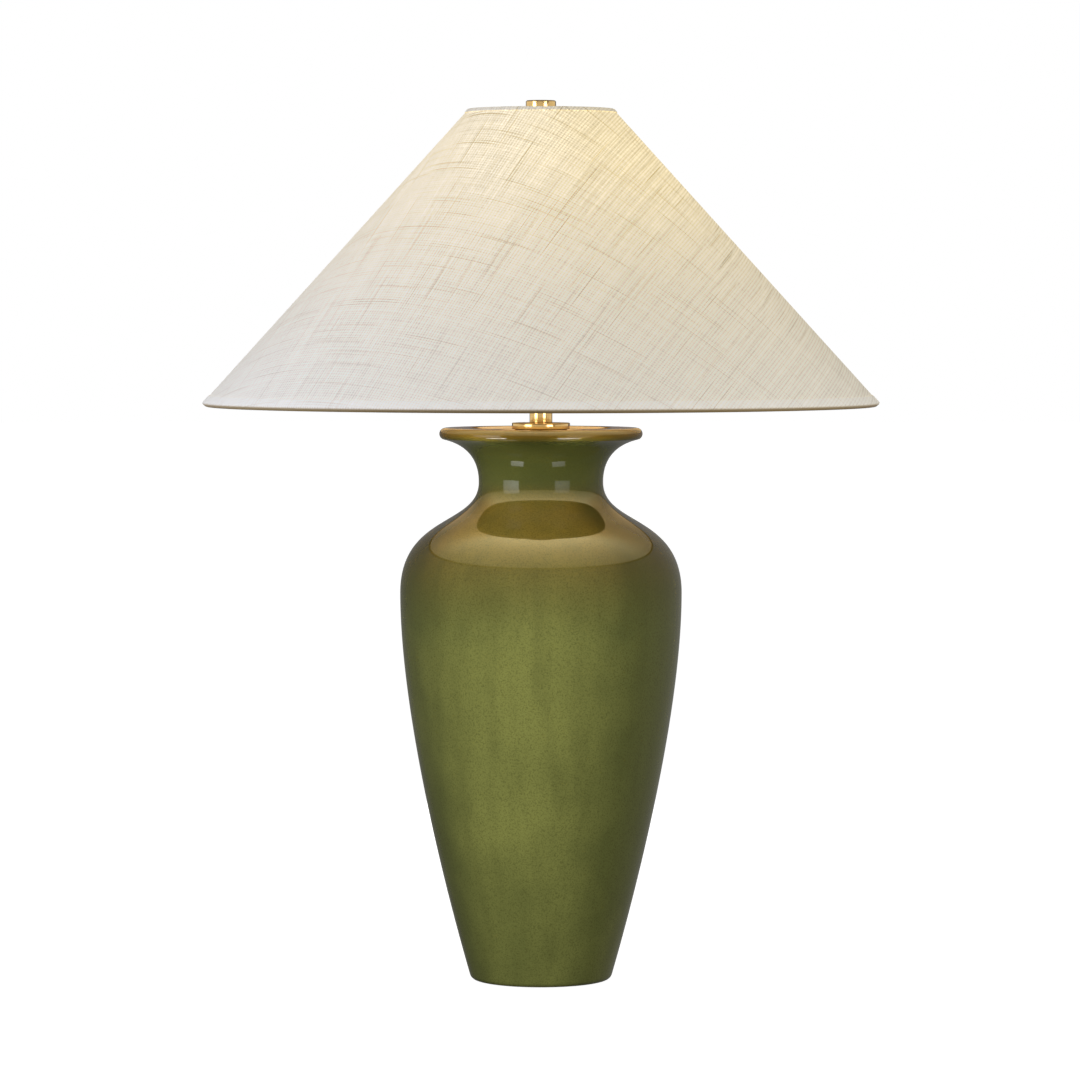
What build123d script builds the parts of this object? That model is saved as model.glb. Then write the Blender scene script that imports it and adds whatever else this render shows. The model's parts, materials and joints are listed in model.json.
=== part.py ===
from build123d import *
import os
from math import atan2, cos, hypot, radians, sin, sqrt

# A table lamp: a glazed ceramic jar on a threaded pipe, a brass neck, a switched socket with its bulb,
# a detachable wire harp, and a conical linen shade held down by a round brass finial.
# Millimetres, +Z up, origin on the table under the middle of the foot. The cord inlet is at the back, +Y.

# Clearances
SLIP = 0.2               # radial play between parts that are slipped together and stay there
RUNNING = 0.05           # radial play of a part that turns on another
AIR = 0.5                # space left between parts that move past each other
GLUE = 0.2               # glue line between the shade's lining and its linen

# Felt under the foot
FELT_THICKNESS = 2.0
FELT_PROUD = 0.8         # how far the felt stands below the ceramic
FELT_MARGIN = 4.9        # bare ceramic between the felt and the rounded edge of the foot

# Ceramic jar: radii and heights of its main stations
FOOT_RADIUS = 58.9
FOOT_ROUND = 6.0
FOOT_FLARE = 0.289       # outward lean of the side where it leaves the foot
BELLY_RADIUS = 118.7
BELLY_HEIGHT = 328.0
NECK_RADIUS = 52.4
NECK_HEIGHT = 421.4
LIP_RADIUS = 85.6
LIP_HEIGHT = 462.0       # height of the lip's widest point
LIP_ROUND = 5.0
LIP_UNDERCUT = 32.0      # degrees from level at which the throat runs into the lip
DISH_DEPTH = 2.0         # the flat middle of the top lies this far below the lip
SEAT_MARGIN = 9.5        # flat ceramic showing round the brass disc
WALL = 7.0
FLOOR = 9.0
LID = 10.0
RECESS_MARGIN = 1.0      # space round the washer in its recess

# How far each of the jar's curves follows its end direction, as a share of the height that it spans
FOOT_PULL = 0.11
FLANK_PULL = 0.357
SHOULDER_PULL = 0.715
THROAT_PULL = 0.398
FLARE_PULL = 0.79

# Cord inlet at the back of the foot
CORD_BORE = 3.8
BUSH_WALL = 1.6
BUSH_FLANGE = 2.6        # width of the flange outside the sleeve
BUSH_FLANGE_THICKNESS = 1.6
BUSH_TAIL = 2.0          # sleeve showing inside the wall
CORD_ABOVE_FLOOR = 9.0

# Threaded pipe and the hardware that clamps the jar
PIPE_RADIUS = 5.0
PIPE_BORE = 3.5
PIPE_END = 1.0           # pipe showing past the nut and past the socket's cap
NUT_WALL = 3.0
NUT_HEIGHT = 5.5
LOCK_WIDTH = 3.3
LOCK_THICKNESS = 1.6
LOCK_SLIT = 2.0
WASHER_WIDTH = 20.8
WASHER_THICKNESS = 2.0

# Brass on top of the jar
GASKET_INSET = 2.5
GASKET_THICKNESS = 1.0
DISC_RADIUS = 24.5
DISC_THICKNESS = 5.3
DISC_EDGE = 0.5
STEM_RADIUS = 9.6
STEM_WALL = 1.6
STEM_LENGTH = 33.0

# Harp and its saddle
SADDLE_THICKNESS = 2.0
SADDLE_WIDTH = 14.0
BOSS_RIM = 0.5           # boss showing round the ferrule that stands on it
BOSS_HEIGHT = 8.0
PEG_LENGTH = 6.0
HARP_GAP = 6.8           # from the socket to a ferrule
HARP_HALF_WIDTH = 57.0
HARP_HEIGHT = 216.0      # from under the saddle to the seat of the shade
HARP_WIRE_RADIUS = 1.9
HARP_FLARE = 44.0        # height over which the legs spread
HARP_SHOULDER = 60.0     # height over which they draw in again
HARP_CROWN = 30.0        # half of the level top
HARP_BEND = 20.0
FERRULE_PLAY = 0.3
FERRULE_WALL = 1.8
FERRULE_LENGTH = 15.0
FERRULE_TRAVEL = 12.0
STUD_RADIUS = 3.05
STUD_SHORT = 1.0         # the stud ends this far below the top of the finial's insert
COLLAR_STEP = 1.5        # width of the shoulder that the shade rests on
COLLAR_BELOW_WIRE = 3.0

# Socket
BUSHING_WALL = 2.3
BUSHING_HEIGHT = 8.0
DOME_HEIGHT = 10.0
DOME_LIP = 6.0
DOME_PULL = 0.55         # roundness of the dome
SHELL_WALL = 0.6
SHELL_LIP = 1.0          # how far the outer shell stands above the screw shell
INSULATOR_WALL = 0.7
SET_SCREW_RADIUS = 1.5
SET_SCREW_PROUD = 1.2
BODY_ABOVE_SHAFT = 9.0
SCREW_SHELL_WALL = 0.6
SCREW_SHELL_LENGTH = 24.0
TERMINAL_HEAD = 3.0
TERMINAL_HEAD_THICKNESS = 1.6
TERMINAL_SHANK = 1.6
TERMINAL_DEPTH = 4.0
TERMINAL_SLOT = 0.8
LEAF_WIDTH = 5.0
LEAF_THICKNESS = 0.5
LEAF_LENGTH = 9.0
LEAF_RISE = 3.5

# Turn switch on the side of the socket
SHAFT_RADIUS = 2.4
SHAFT_DEPTH = 9.0        # how far the shaft reaches into the socket's body
SHAFT_MARGIN = 1.0       # play of the shaft in the socket's sleeves
KNOB_RADIUS = 6.5
KNOB_LENGTH = 11.0
KNOB_STANDOFF = 6.0      # bare shaft between the shell and the knob
KNOB_BORE_DEPTH = 6.0
KNOB_FLUTES = 12
KNOB_FLUTE_RADIUS = 0.8
KNOB_EDGE = 0.8

# Bulb
TIP_RADIUS = 4.6
TIP_HEIGHT = 1.8
TIP_ROUND = 0.9
TIP_CONE = 3.4
CAP_RADIUS = 13.0
CAP_WALL = 0.6
CAP_LENGTH = 20.0
THREAD_PITCH = 3.63
THREAD_DEPTH = 0.9
HOUSING_HEIGHT = 35.0
HOUSING_WALL = 1.6
GLOBE_RADIUS = 30.0
GLOBE_WALL = 1.0
GLOBE_SEAT = 24.0        # radius at which the globe meets its housing
BOARD_MARGIN = 5.0
BOARD_THICKNESS = 1.6

# Shade
SHADE_TOP_RADIUS = 61.0
SHADE_BOTTOM_RADIUS = 284.0
SHADE_HEIGHT = 246.0
SPIDER_RECESS = 11.5     # from the shade's top edge down to the top of the spider's washer
LINEN = 0.6
LINING = 0.8
RING_WIRE_RADIUS = 1.6
TRIM = 0.5
BOTTOM_TRIM_WIDTH = 8.0  # width of the tape that shows on the outside
TOP_TRIM_WIDTH = 4.0
TRIM_TUCK = 2.0          # tape turned in past the ring
SPIDER_WASHER_THICKNESS = 2.5
SPIDER_ARMS = 3
ARM_RADIUS = 1.6
ARM_PLAY = 0.3           # between the turning arms and the washer above them
ARM_GAP = 3.0            # from the harp's collar to the arms' inner ends
ARM_OVERLAP = 5.0        # length of arm under the washer
ARM_LEVEL = 4.0          # level stretch of arm outside the washer
ARM_BEND = 6.0

# Finial
FINIAL_RADIUS = 12.7
FINIAL_HEIGHT = 19.0
FINIAL_EDGE = 0.9
INSERT_WALL = 1.9
INSERT_LENGTH = 15.0

# Heights that follow from the sizes above
foot_z = FELT_PROUD
pipe_bottom = FELT_THICKNESS + PIPE_END
nut_bottom = pipe_bottom + PIPE_END
nut_top = nut_bottom + NUT_HEIGHT
lock_top = nut_top + LOCK_THICKNESS
floor_bottom = lock_top + WASHER_THICKNESS
floor_top = floor_bottom + FLOOR
lip_top = LIP_HEIGHT + LIP_ROUND
seat_z = lip_top - DISH_DEPTH
lid_bottom = seat_z - LID
disc_bottom = seat_z + GASKET_THICKNESS
disc_top = disc_bottom + DISC_THICKNESS
saddle_bottom = disc_top + STEM_LENGTH
saddle_top = saddle_bottom + SADDLE_THICKNESS
boss_top = saddle_top + BOSS_HEIGHT
peg_top = boss_top + PEG_LENGTH
ferrule_top = boss_top + FERRULE_LENGTH
shade_seat = saddle_bottom + HARP_HEIGHT
washer_top = shade_seat + SPIDER_WASHER_THICKNESS
insert_top = washer_top + INSERT_LENGTH
shade_top = washer_top + SPIDER_RECESS
shade_bottom = shade_top - SHADE_HEIGHT
arm_z = shade_seat - ARM_PLAY - ARM_RADIUS
harp_top = arm_z - ARM_RADIUS - AIR - HARP_WIRE_RADIUS
set_screw_z = saddle_top + BUSHING_HEIGHT / 2
dome_bottom = saddle_top + BUSHING_HEIGHT
dome_top = dome_bottom + DOME_HEIGHT
dome_lip_top = dome_top + DOME_LIP
shaft_z = dome_lip_top + SHAFT_RADIUS + SHAFT_MARGIN + AIR
body_bottom = dome_top + SLIP
body_top = shaft_z + BODY_ABOVE_SHAFT
screw_shell_top = body_top + SCREW_SHELL_LENGTH
bulb_z = body_top + LEAF_RISE + SLIP
cap_bottom = bulb_z + TIP_HEIGHT + TIP_CONE
cap_top = cap_bottom + CAP_LENGTH
housing_top = cap_top + HOUSING_HEIGHT
globe_z = housing_top + sqrt(GLOBE_RADIUS**2 - GLOBE_SEAT**2)

# Radii that follow from the sizes above
felt_radius = FOOT_RADIUS - FOOT_ROUND - FELT_MARGIN
seat_radius = DISC_RADIUS + SEAT_MARGIN
pipe_hole = PIPE_RADIUS + SLIP
washer_radius = pipe_hole + WASHER_WIDTH
sleeve_radius = CORD_BORE + BUSH_WALL
flange_radius = sleeve_radius + BUSH_FLANGE
cap_root = CAP_RADIUS - THREAD_DEPTH
screw_shell_bore = CAP_RADIUS + AIR
body_radius = screw_shell_bore + THREAD_DEPTH + SCREW_SHELL_WALL
insulator_bore = body_radius + SLIP
insulator_radius = insulator_bore + INSULATOR_WALL
shell_bore = insulator_radius + SLIP
shell_radius = shell_bore + SHELL_WALL
dome_bore = shell_radius + SLIP
dome_radius = dome_bore + SHELL_WALL
bushing_radius = pipe_hole + BUSHING_WALL
terminal_flat = body_radius - TERMINAL_HEAD_THICKNESS - SLIP
shaft_hole = SHAFT_RADIUS + SHAFT_MARGIN
ferrule_bore = HARP_WIRE_RADIUS + FERRULE_PLAY
ferrule_radius = ferrule_bore + FERRULE_WALL
harp_foot = dome_radius + HARP_GAP + ferrule_radius
collar_radius = STUD_RADIUS + AIR + COLLAR_STEP
arm_start = collar_radius + ARM_GAP
spider_washer_radius = arm_start + ARM_OVERLAP
insert_radius = STUD_RADIUS + RUNNING + INSERT_WALL

# Ends of the switch's knob along Y
knob_inner_end = -(shell_radius + KNOB_STANDOFF)
knob_outer_end = knob_inner_end - KNOB_LENGTH
knob_bore_end = knob_inner_end - KNOB_BORE_DEPTH

# The shade's slant, and depths in from the linen's face
slant = hypot(SHADE_BOTTOM_RADIUS - SHADE_TOP_RADIUS, SHADE_HEIGHT)
lean = atan2(SHADE_BOTTOM_RADIUS - SHADE_TOP_RADIUS, SHADE_HEIGHT)
lining_face = LINEN + GLUE
lining_back = lining_face + LINING
ring_depth = lining_back + SLIP + RING_WIRE_RADIUS
trim_back = ring_depth + RING_WIRE_RADIUS + SLIP

UPWARD = (Align.CENTER, Align.CENTER, Align.MIN)
DOWNWARD = (Align.CENTER, Align.CENTER, Align.MAX)


def turned(*outline):
    """A solid turned about the lamp's axis from curves of (radius, height) that close an outline."""
    return revolve(Plane.XZ * make_face(Curve() + list(outline)), Axis.Z)


def rod(radius, bottom, top):
    return Pos(0, 0, bottom) * Cylinder(radius, top - bottom, align=UPWARD)


def tube(bore, radius, bottom, top):
    return rod(radius, bottom, top) - rod(bore, bottom, top)


def side_rod(radius, start, end, height):
    """A rod that lies along Y at a given height."""
    return Pos(0, start, height) * Rot(-90, 0, 0) * Cylinder(radius, end - start, align=UPWARD)


def jar_side(foot, belly, neck):
    """The jar's side from foot to neck: a flank and a shoulder, both upright at the belly."""
    flank_rise = belly[1] - foot[1]
    shoulder_rise = neck[1] - belly[1]
    flank = Bezier(
        foot,
        (foot[0] + FOOT_FLARE * FOOT_PULL * flank_rise, foot[1] + FOOT_PULL * flank_rise),
        (belly[0], belly[1] - FLANK_PULL * flank_rise),
        belly,
    )
    shoulder = Bezier(
        belly,
        (belly[0], belly[1] + SHOULDER_PULL * shoulder_rise),
        (neck[0], neck[1] - THROAT_PULL * shoulder_rise),
        neck,
    )
    return flank, shoulder


def jar_flank_and_shoulder():
    belly = (BELLY_RADIUS, BELLY_HEIGHT)
    neck = (NECK_RADIUS, NECK_HEIGHT)
    return jar_side((FOOT_RADIUS, foot_z), belly, neck)


def jar_outside():
    """The jar as if it were solid, with its rounded foot, full lip and slightly dished top."""
    flank, shoulder = jar_flank_and_shoulder()
    undercut = radians(LIP_UNDERCUT)
    lip_middle = LIP_RADIUS - LIP_ROUND
    lip_start = (lip_middle + LIP_ROUND * sin(undercut), LIP_HEIGHT - LIP_ROUND * cos(undercut))
    throat = Bezier(
        (NECK_RADIUS, NECK_HEIGHT),
        (NECK_RADIUS, NECK_HEIGHT + FLARE_PULL * (LIP_HEIGHT - NECK_HEIGHT)),
        (lip_start[0] - LIP_ROUND / 2 * cos(undercut), lip_start[1] - LIP_ROUND / 2 * sin(undercut)),
        lip_start,
    )
    lip = ThreePointArc(lip_start, (LIP_RADIUS, LIP_HEIGHT), (lip_middle, lip_top))
    half_way = (lip_middle + seat_radius) / 2
    dish = Bezier((lip_middle, lip_top), (half_way, lip_top), (half_way, seat_z), (seat_radius, seat_z))
    inside = Polyline((seat_radius, seat_z), (0, seat_z), (0, foot_z), (FOOT_RADIUS, foot_z))
    outline = make_face(Curve() + [flank, shoulder, throat, lip, dish, inside])
    corner = outline.vertices().sort_by_distance((FOOT_RADIUS, foot_z))[0]
    return revolve(Plane.XZ * fillet(corner, FOOT_ROUND), Axis.Z)


def jar_cavity():
    """The hollow of the jar, one wall in from its outside."""
    foot = (FOOT_RADIUS + FOOT_FLARE * (floor_top - foot_z) - WALL, floor_top)
    neck = (NECK_RADIUS - WALL, NECK_HEIGHT - WALL)
    flank, shoulder = jar_side(foot, (BELLY_RADIUS - WALL, BELLY_HEIGHT - WALL / 2), neck)
    return turned(flank, shoulder, Polyline(neck, (neck[0], lid_bottom), (0, lid_bottom), (0, floor_top), foot))


def cord_inlet():
    """The plane that the cord bush's flange sits on: square to the jar's side, sunk by the side's curve."""
    flank = jar_flank_and_shoulder()[0]
    height = floor_top + CORD_ABOVE_FLOOR
    level = Line((0, height), (2 * BELLY_RADIUS, height))
    at = flank.intersect(level).vertices()[0]
    along = flank.tangent_at(flank.param_at_point((at.X, at.Y)))
    outward = Vector(0, along.Y, -along.X)
    sagitta = flange_radius**2 / (2 * at.X)
    return Plane(Vector(0, at.X, at.Y) - outward * (sagitta + SLIP), x_dir=(1, 0, 0), z_dir=outward)


def ceramic_body(inlet):
    cuts = [
        jar_cavity(),
        rod(felt_radius + SLIP, foot_z, FELT_THICKNESS),
        rod(washer_radius + RECESS_MARGIN, foot_z, floor_bottom),
        rod(pipe_hole, foot_z, lip_top),
        inlet * Cylinder(sleeve_radius + SLIP, 2 * (WALL + BUSH_TAIL)),
        inlet * Cylinder(flange_radius + SLIP, WALL, align=UPWARD),
    ]
    return jar_outside() - cuts


def cord_bush(inlet):
    flange = Cylinder(flange_radius, BUSH_FLANGE_THICKNESS, align=UPWARD)
    flange = fillet(flange.edges().group_by(Axis.Z)[-1], BUSH_FLANGE_THICKNESS / 2)
    sleeve = Cylinder(sleeve_radius, WALL + BUSH_TAIL, align=DOWNWARD)
    bore = Cylinder(CORD_BORE, 2 * (WALL + BUSH_TAIL + BUSH_FLANGE_THICKNESS))
    return inlet * (flange + sleeve - bore)


def base_nut():
    hexagon = extrude(RegularPolygon(PIPE_RADIUS + NUT_WALL, 6, major_radius=False), NUT_HEIGHT)
    return Pos(0, 0, nut_bottom) * hexagon - rod(PIPE_RADIUS + RUNNING, nut_bottom, nut_top)


def base_lock_washer():
    radius = pipe_hole + LOCK_WIDTH
    slit = Pos(0, 0, nut_top) * Box(radius, LOCK_SLIT, LOCK_THICKNESS, align=(Align.MIN, Align.CENTER, Align.MIN))
    return tube(pipe_hole, radius, nut_top, lock_top) - slit


def cap_disc():
    disc = rod(DISC_RADIUS, disc_bottom, disc_top)
    return fillet(disc.edges(), DISC_EDGE) - rod(pipe_hole, disc_bottom, disc_top)


def harp_saddle():
    """A flat strip on the neck, with a boss and a peg at each end for the harp's feet."""
    strip = Pos(0, 0, saddle_bottom) * extrude(SlotCenterToCenter(2 * harp_foot, SADDLE_WIDTH), SADDLE_THICKNESS)
    strip -= rod(pipe_hole, saddle_bottom, saddle_top)
    for side in (-1, 1):
        strip += Pos(side * harp_foot, 0, 0) * rod(ferrule_radius + BOSS_RIM, saddle_top, boss_top)
        strip += Pos(side * harp_foot, 0, 0) * rod(HARP_WIRE_RADIUS, boss_top, peg_top)
    return strip


def harp_bow():
    """One wire bent up from the right peg, over the bulb and down to the left peg."""
    leg_corner = ferrule_top + FERRULE_TRAVEL + HARP_BEND
    half = [
        (harp_foot, peg_top),
        (harp_foot, leg_corner),
        (HARP_HALF_WIDTH, leg_corner + HARP_FLARE),
        (HARP_HALF_WIDTH, harp_top - HARP_SHOULDER),
        (HARP_CROWN, harp_top),
    ]
    route = half + [(-x, z) for x, z in reversed(half)]
    path = Plane.XZ * FilletPolyline(*route, radius=HARP_BEND)
    return sweep(Pos(harp_foot, 0, peg_top) * Circle(HARP_WIRE_RADIUS), path=path)


def harp_stud():
    """The threaded stud on the harp's crown, with the collar that the wire passes through."""
    wire_way = Pos(0, 0, harp_top) * Rot(0, 90, 0) * Cylinder(HARP_WIRE_RADIUS + RUNNING, 2 * HARP_CROWN)
    collar = rod(collar_radius, harp_top - HARP_WIRE_RADIUS - COLLAR_BELOW_WIRE, shade_seat)
    return collar - wire_way + rod(STUD_RADIUS, shade_seat, insert_top - STUD_SHORT)


def ferrule(side):
    return Pos(side * harp_foot, 0, 0) * tube(ferrule_bore, ferrule_radius, boss_top, ferrule_top)


def dome_curve(inner, outer, bottom):
    """The round of the socket's cap, from level at its middle to upright at its lip."""
    return Bezier(
        (inner, bottom),
        (inner + DOME_PULL * (outer - inner), bottom),
        (outer, dome_top - DOME_PULL * (dome_top - bottom)),
        (outer, dome_top),
    )


def socket_cap():
    """The domed brass cap that screws onto the pipe and holds the socket's shell."""
    ceiling = dome_bottom + SHELL_WALL
    cap = turned(
        Polyline((pipe_hole, ceiling), (pipe_hole, saddle_top), (bushing_radius, saddle_top),
                 (bushing_radius, dome_bottom)),
        dome_curve(bushing_radius, dome_radius, dome_bottom),
        Polyline((dome_radius, dome_top), (dome_radius, dome_lip_top), (dome_bore, dome_lip_top),
                 (dome_bore, dome_top)),
        dome_curve(bushing_radius, dome_bore, ceiling),
        Line((bushing_radius, ceiling), (pipe_hole, ceiling)),
    )
    return cap - side_rod(SET_SCREW_RADIUS + RUNNING, 0, 2 * bushing_radius, set_screw_z)


def socket_set_screw():
    outer_end = bushing_radius + SET_SCREW_PROUD
    slot = Pos(0, outer_end, set_screw_z) * Box(2 * SET_SCREW_RADIUS, SET_SCREW_PROUD, SET_SCREW_RADIUS / 2)
    return side_rod(SET_SCREW_RADIUS, PIPE_RADIUS + RUNNING, outer_end, set_screw_z) - slot


def socket_sleeve(bore, radius, top):
    """A round sleeve of the socket, with a hole at the front for the switch's shaft."""
    return tube(bore, radius, body_bottom, top) - side_rod(shaft_hole, -2 * radius, 0, shaft_z)


def socket_body():
    """The moulded inside of the socket, with flats for its two terminal screws."""
    body = rod(body_radius, body_bottom, body_top)
    flat_height = shaft_z + TERMINAL_HEAD + AIR - body_bottom
    shank_way = Cylinder(TERMINAL_SHANK + RUNNING, 2 * TERMINAL_DEPTH)
    flat = Box(body_radius, 2 * body_radius, flat_height, align=(Align.MIN, Align.CENTER, Align.MIN))
    cut = Pos(terminal_flat, 0, body_bottom) * flat + Pos(terminal_flat, 0, shaft_z) * Rot(0, 90, 0) * shank_way
    shaft_way = side_rod(SHAFT_RADIUS + RUNNING, -2 * body_radius, SHAFT_DEPTH - body_radius, shaft_z)
    return body - cut - Rot(0, 0, 180) * cut - shaft_way


def terminal_screws():
    head = Cylinder(TERMINAL_HEAD, TERMINAL_HEAD_THICKNESS, align=UPWARD)
    head -= Pos(0, 0, TERMINAL_HEAD_THICKNESS) * Box(2 * TERMINAL_HEAD, TERMINAL_SLOT, TERMINAL_HEAD_THICKNESS)
    screw = head + Cylinder(TERMINAL_SHANK, TERMINAL_DEPTH, align=DOWNWARD)
    right = Pos(terminal_flat, 0, shaft_z) * Rot(0, 90, 0) * screw
    return Compound(children=[right, Rot(0, 0, 180) * right])


def rolled_line(radius, bottom, length):
    """The (radius, height) curves of a rolled thread that swells outward, plain at both ends."""
    turns = int(length / THREAD_PITCH) - 1
    start = bottom + (length - turns * THREAD_PITCH) / 2
    curves = [Line((radius, bottom), (radius, start))]
    for _ in range(turns):
        end = start + THREAD_PITCH
        crest = (radius + THREAD_DEPTH, (start + end) / 2)
        curves.append(ThreePointArc((radius, start), crest, (radius, end)))
        start = end
    return curves + [Line((radius, start), (radius, bottom + length))]


def rolled_shell(bore, wall, bottom, length):
    """A sheet metal sleeve with rolled thread rings. The socket's rings clear those of the bulb."""
    outside = bore + wall
    return turned(
        *rolled_line(bore, bottom, length),
        Line((bore, bottom + length), (outside, bottom + length)),
        *rolled_line(outside, bottom, length),
        Line((outside, bottom), (bore, bottom)),
    )


def centre_contact():
    """A brass leaf folded over itself on the socket's floor, under the tip of the bulb."""
    half = LEAF_LENGTH / 2
    folded = Rectangle(LEAF_LENGTH, LEAF_RISE, align=(Align.CENTER, Align.MIN))
    mouth = Pos(half, LEAF_THICKNESS) * Rectangle(
        LEAF_LENGTH - LEAF_THICKNESS, LEAF_RISE - 2 * LEAF_THICKNESS, align=(Align.MAX, Align.MIN)
    )
    return Pos(0, 0, body_top) * extrude(Plane.XZ * (folded - mouth), LEAF_WIDTH / 2, both=True)


def switch_shaft():
    return side_rod(SHAFT_RADIUS, knob_bore_end, SHAFT_DEPTH - body_radius - SLIP, shaft_z)


def switch_knob():
    """A small fluted knob on the end of the switch's shaft."""
    knob = side_rod(KNOB_RADIUS, knob_outer_end, knob_inner_end, shaft_z)
    knob = chamfer(knob.edges().group_by(Axis.Y)[0], KNOB_EDGE)
    flute = Pos(KNOB_RADIUS, 0, 0) * side_rod(KNOB_FLUTE_RADIUS, knob_outer_end, knob_inner_end, 0)
    flutes = [Pos(0, 0, shaft_z) * Rot(0, 360 * n / KNOB_FLUTES, 0) * flute for n in range(KNOB_FLUTES)]
    return knob - flutes - side_rod(SHAFT_RADIUS + RUNNING, knob_bore_end, knob_inner_end, shaft_z)


def bulb_contact():
    contact = rod(TIP_RADIUS, bulb_z, bulb_z + TIP_HEIGHT)
    return fillet(contact.edges().group_by(Axis.Z)[0], TIP_ROUND)


def bulb_insulator():
    bottom = bulb_z + TIP_HEIGHT
    return turned(Polyline((0, bottom), (TIP_RADIUS, bottom), (cap_root, cap_bottom), (0, cap_bottom), close=True))


def housing_curve(start_radius, end_radius, top):
    """The housing's flare, from upright at the cap to the slope of the globe."""
    pull = HOUSING_HEIGHT / 2
    slope = ((globe_z - housing_top) / GLOBE_RADIUS, GLOBE_SEAT / GLOBE_RADIUS)
    return Bezier(
        (start_radius, cap_top),
        (start_radius, cap_top + pull / 2),
        (end_radius - pull * slope[0], top - pull * slope[1]),
        (end_radius, top),
    )


def bulb_housing():
    """The flared moulding between cap and globe, hollow and closed on top."""
    inner_start = cap_root - CAP_WALL
    inner_end = GLOBE_SEAT - 2 * HOUSING_WALL
    inner_top = housing_top - HOUSING_WALL
    return turned(
        housing_curve(inner_start + HOUSING_WALL, GLOBE_SEAT, housing_top),
        Polyline((GLOBE_SEAT, housing_top), (0, housing_top), (0, inner_top), (inner_end, inner_top)),
        housing_curve(inner_start, inner_end, inner_top),
        Line((inner_start, cap_top), (inner_start + HOUSING_WALL, cap_top)),
    )


def bulb_globe():
    ball = Pos(0, 0, globe_z) * (Sphere(GLOBE_RADIUS) - Sphere(GLOBE_RADIUS - GLOBE_WALL))
    return ball - rod(GLOBE_RADIUS, globe_z - GLOBE_RADIUS, housing_top)


def on_slant(up, depth):
    """(radius, height) of a point on the shade: up along the slant and in from the linen's face."""
    radius = SHADE_BOTTOM_RADIUS - up * sin(lean) - depth * cos(lean)
    return radius, shade_bottom + up * cos(lean) - depth * sin(lean)


def shade_sheet(face, back):
    """One conical layer of the shade between two depths."""
    corners = [on_slant(0, face), on_slant(slant, face), on_slant(slant, back), on_slant(0, back)]
    return turned(Polyline(*corners, close=True))


def ring_centre(at_top):
    inset = SLIP + RING_WIRE_RADIUS
    return on_slant(slant - inset if at_top else inset, ring_depth)


def shade_ring(at_top):
    radius, height = ring_centre(at_top)
    return Pos(0, 0, height) * Torus(radius, RING_WIRE_RADIUS)


def shade_trim(at_top, width):
    """Linen tape folded over an edge of the shade, round the ring and back up the inside."""
    edge, way = (slant, -1) if at_top else (0, 1)
    tuck = 2 * (SLIP + RING_WIRE_RADIUS) + TRIM_TUCK
    inner_fold = SLIP
    outer_fold = SLIP + TRIM
    corners = [
        (width, -SLIP, 0),
        (width, -outer_fold, 0),
        (-outer_fold, -outer_fold, outer_fold),
        (-outer_fold, trim_back + TRIM, outer_fold),
        (tuck, trim_back + TRIM, 0),
        (tuck, trim_back, 0),
        (-SLIP, trim_back, inner_fold),
        (-SLIP, -SLIP, inner_fold),
    ]
    points = [on_slant(edge + way * up, depth) for up, depth, _ in corners]
    return turned(FilletPolyline(*points, radius=[fold for _, _, fold in corners], close=True))


def spider_arms(wire_radius):
    """Wires from under the spider's washer out to the middle of the shade's top ring."""
    level_end = spider_washer_radius + ARM_LEVEL
    path = FilletPolyline((arm_start, arm_z), (level_end, arm_z), ring_centre(True), radius=ARM_BEND)
    start = Plane((arm_start, 0, arm_z), z_dir=(1, 0, 0))
    arm = sweep(start * Circle(wire_radius), path=Plane.XZ * path)
    return [Rot(0, 0, 90 + 360 * n / SPIDER_ARMS) * arm for n in range(SPIDER_ARMS)]


def finial_knob():
    knob = rod(FINIAL_RADIUS, washer_top, washer_top + FINIAL_HEIGHT)
    knob = chamfer(knob.edges(), FINIAL_EDGE)
    return knob - rod(insert_radius + RUNNING, washer_top, insert_top + AIR)


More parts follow.
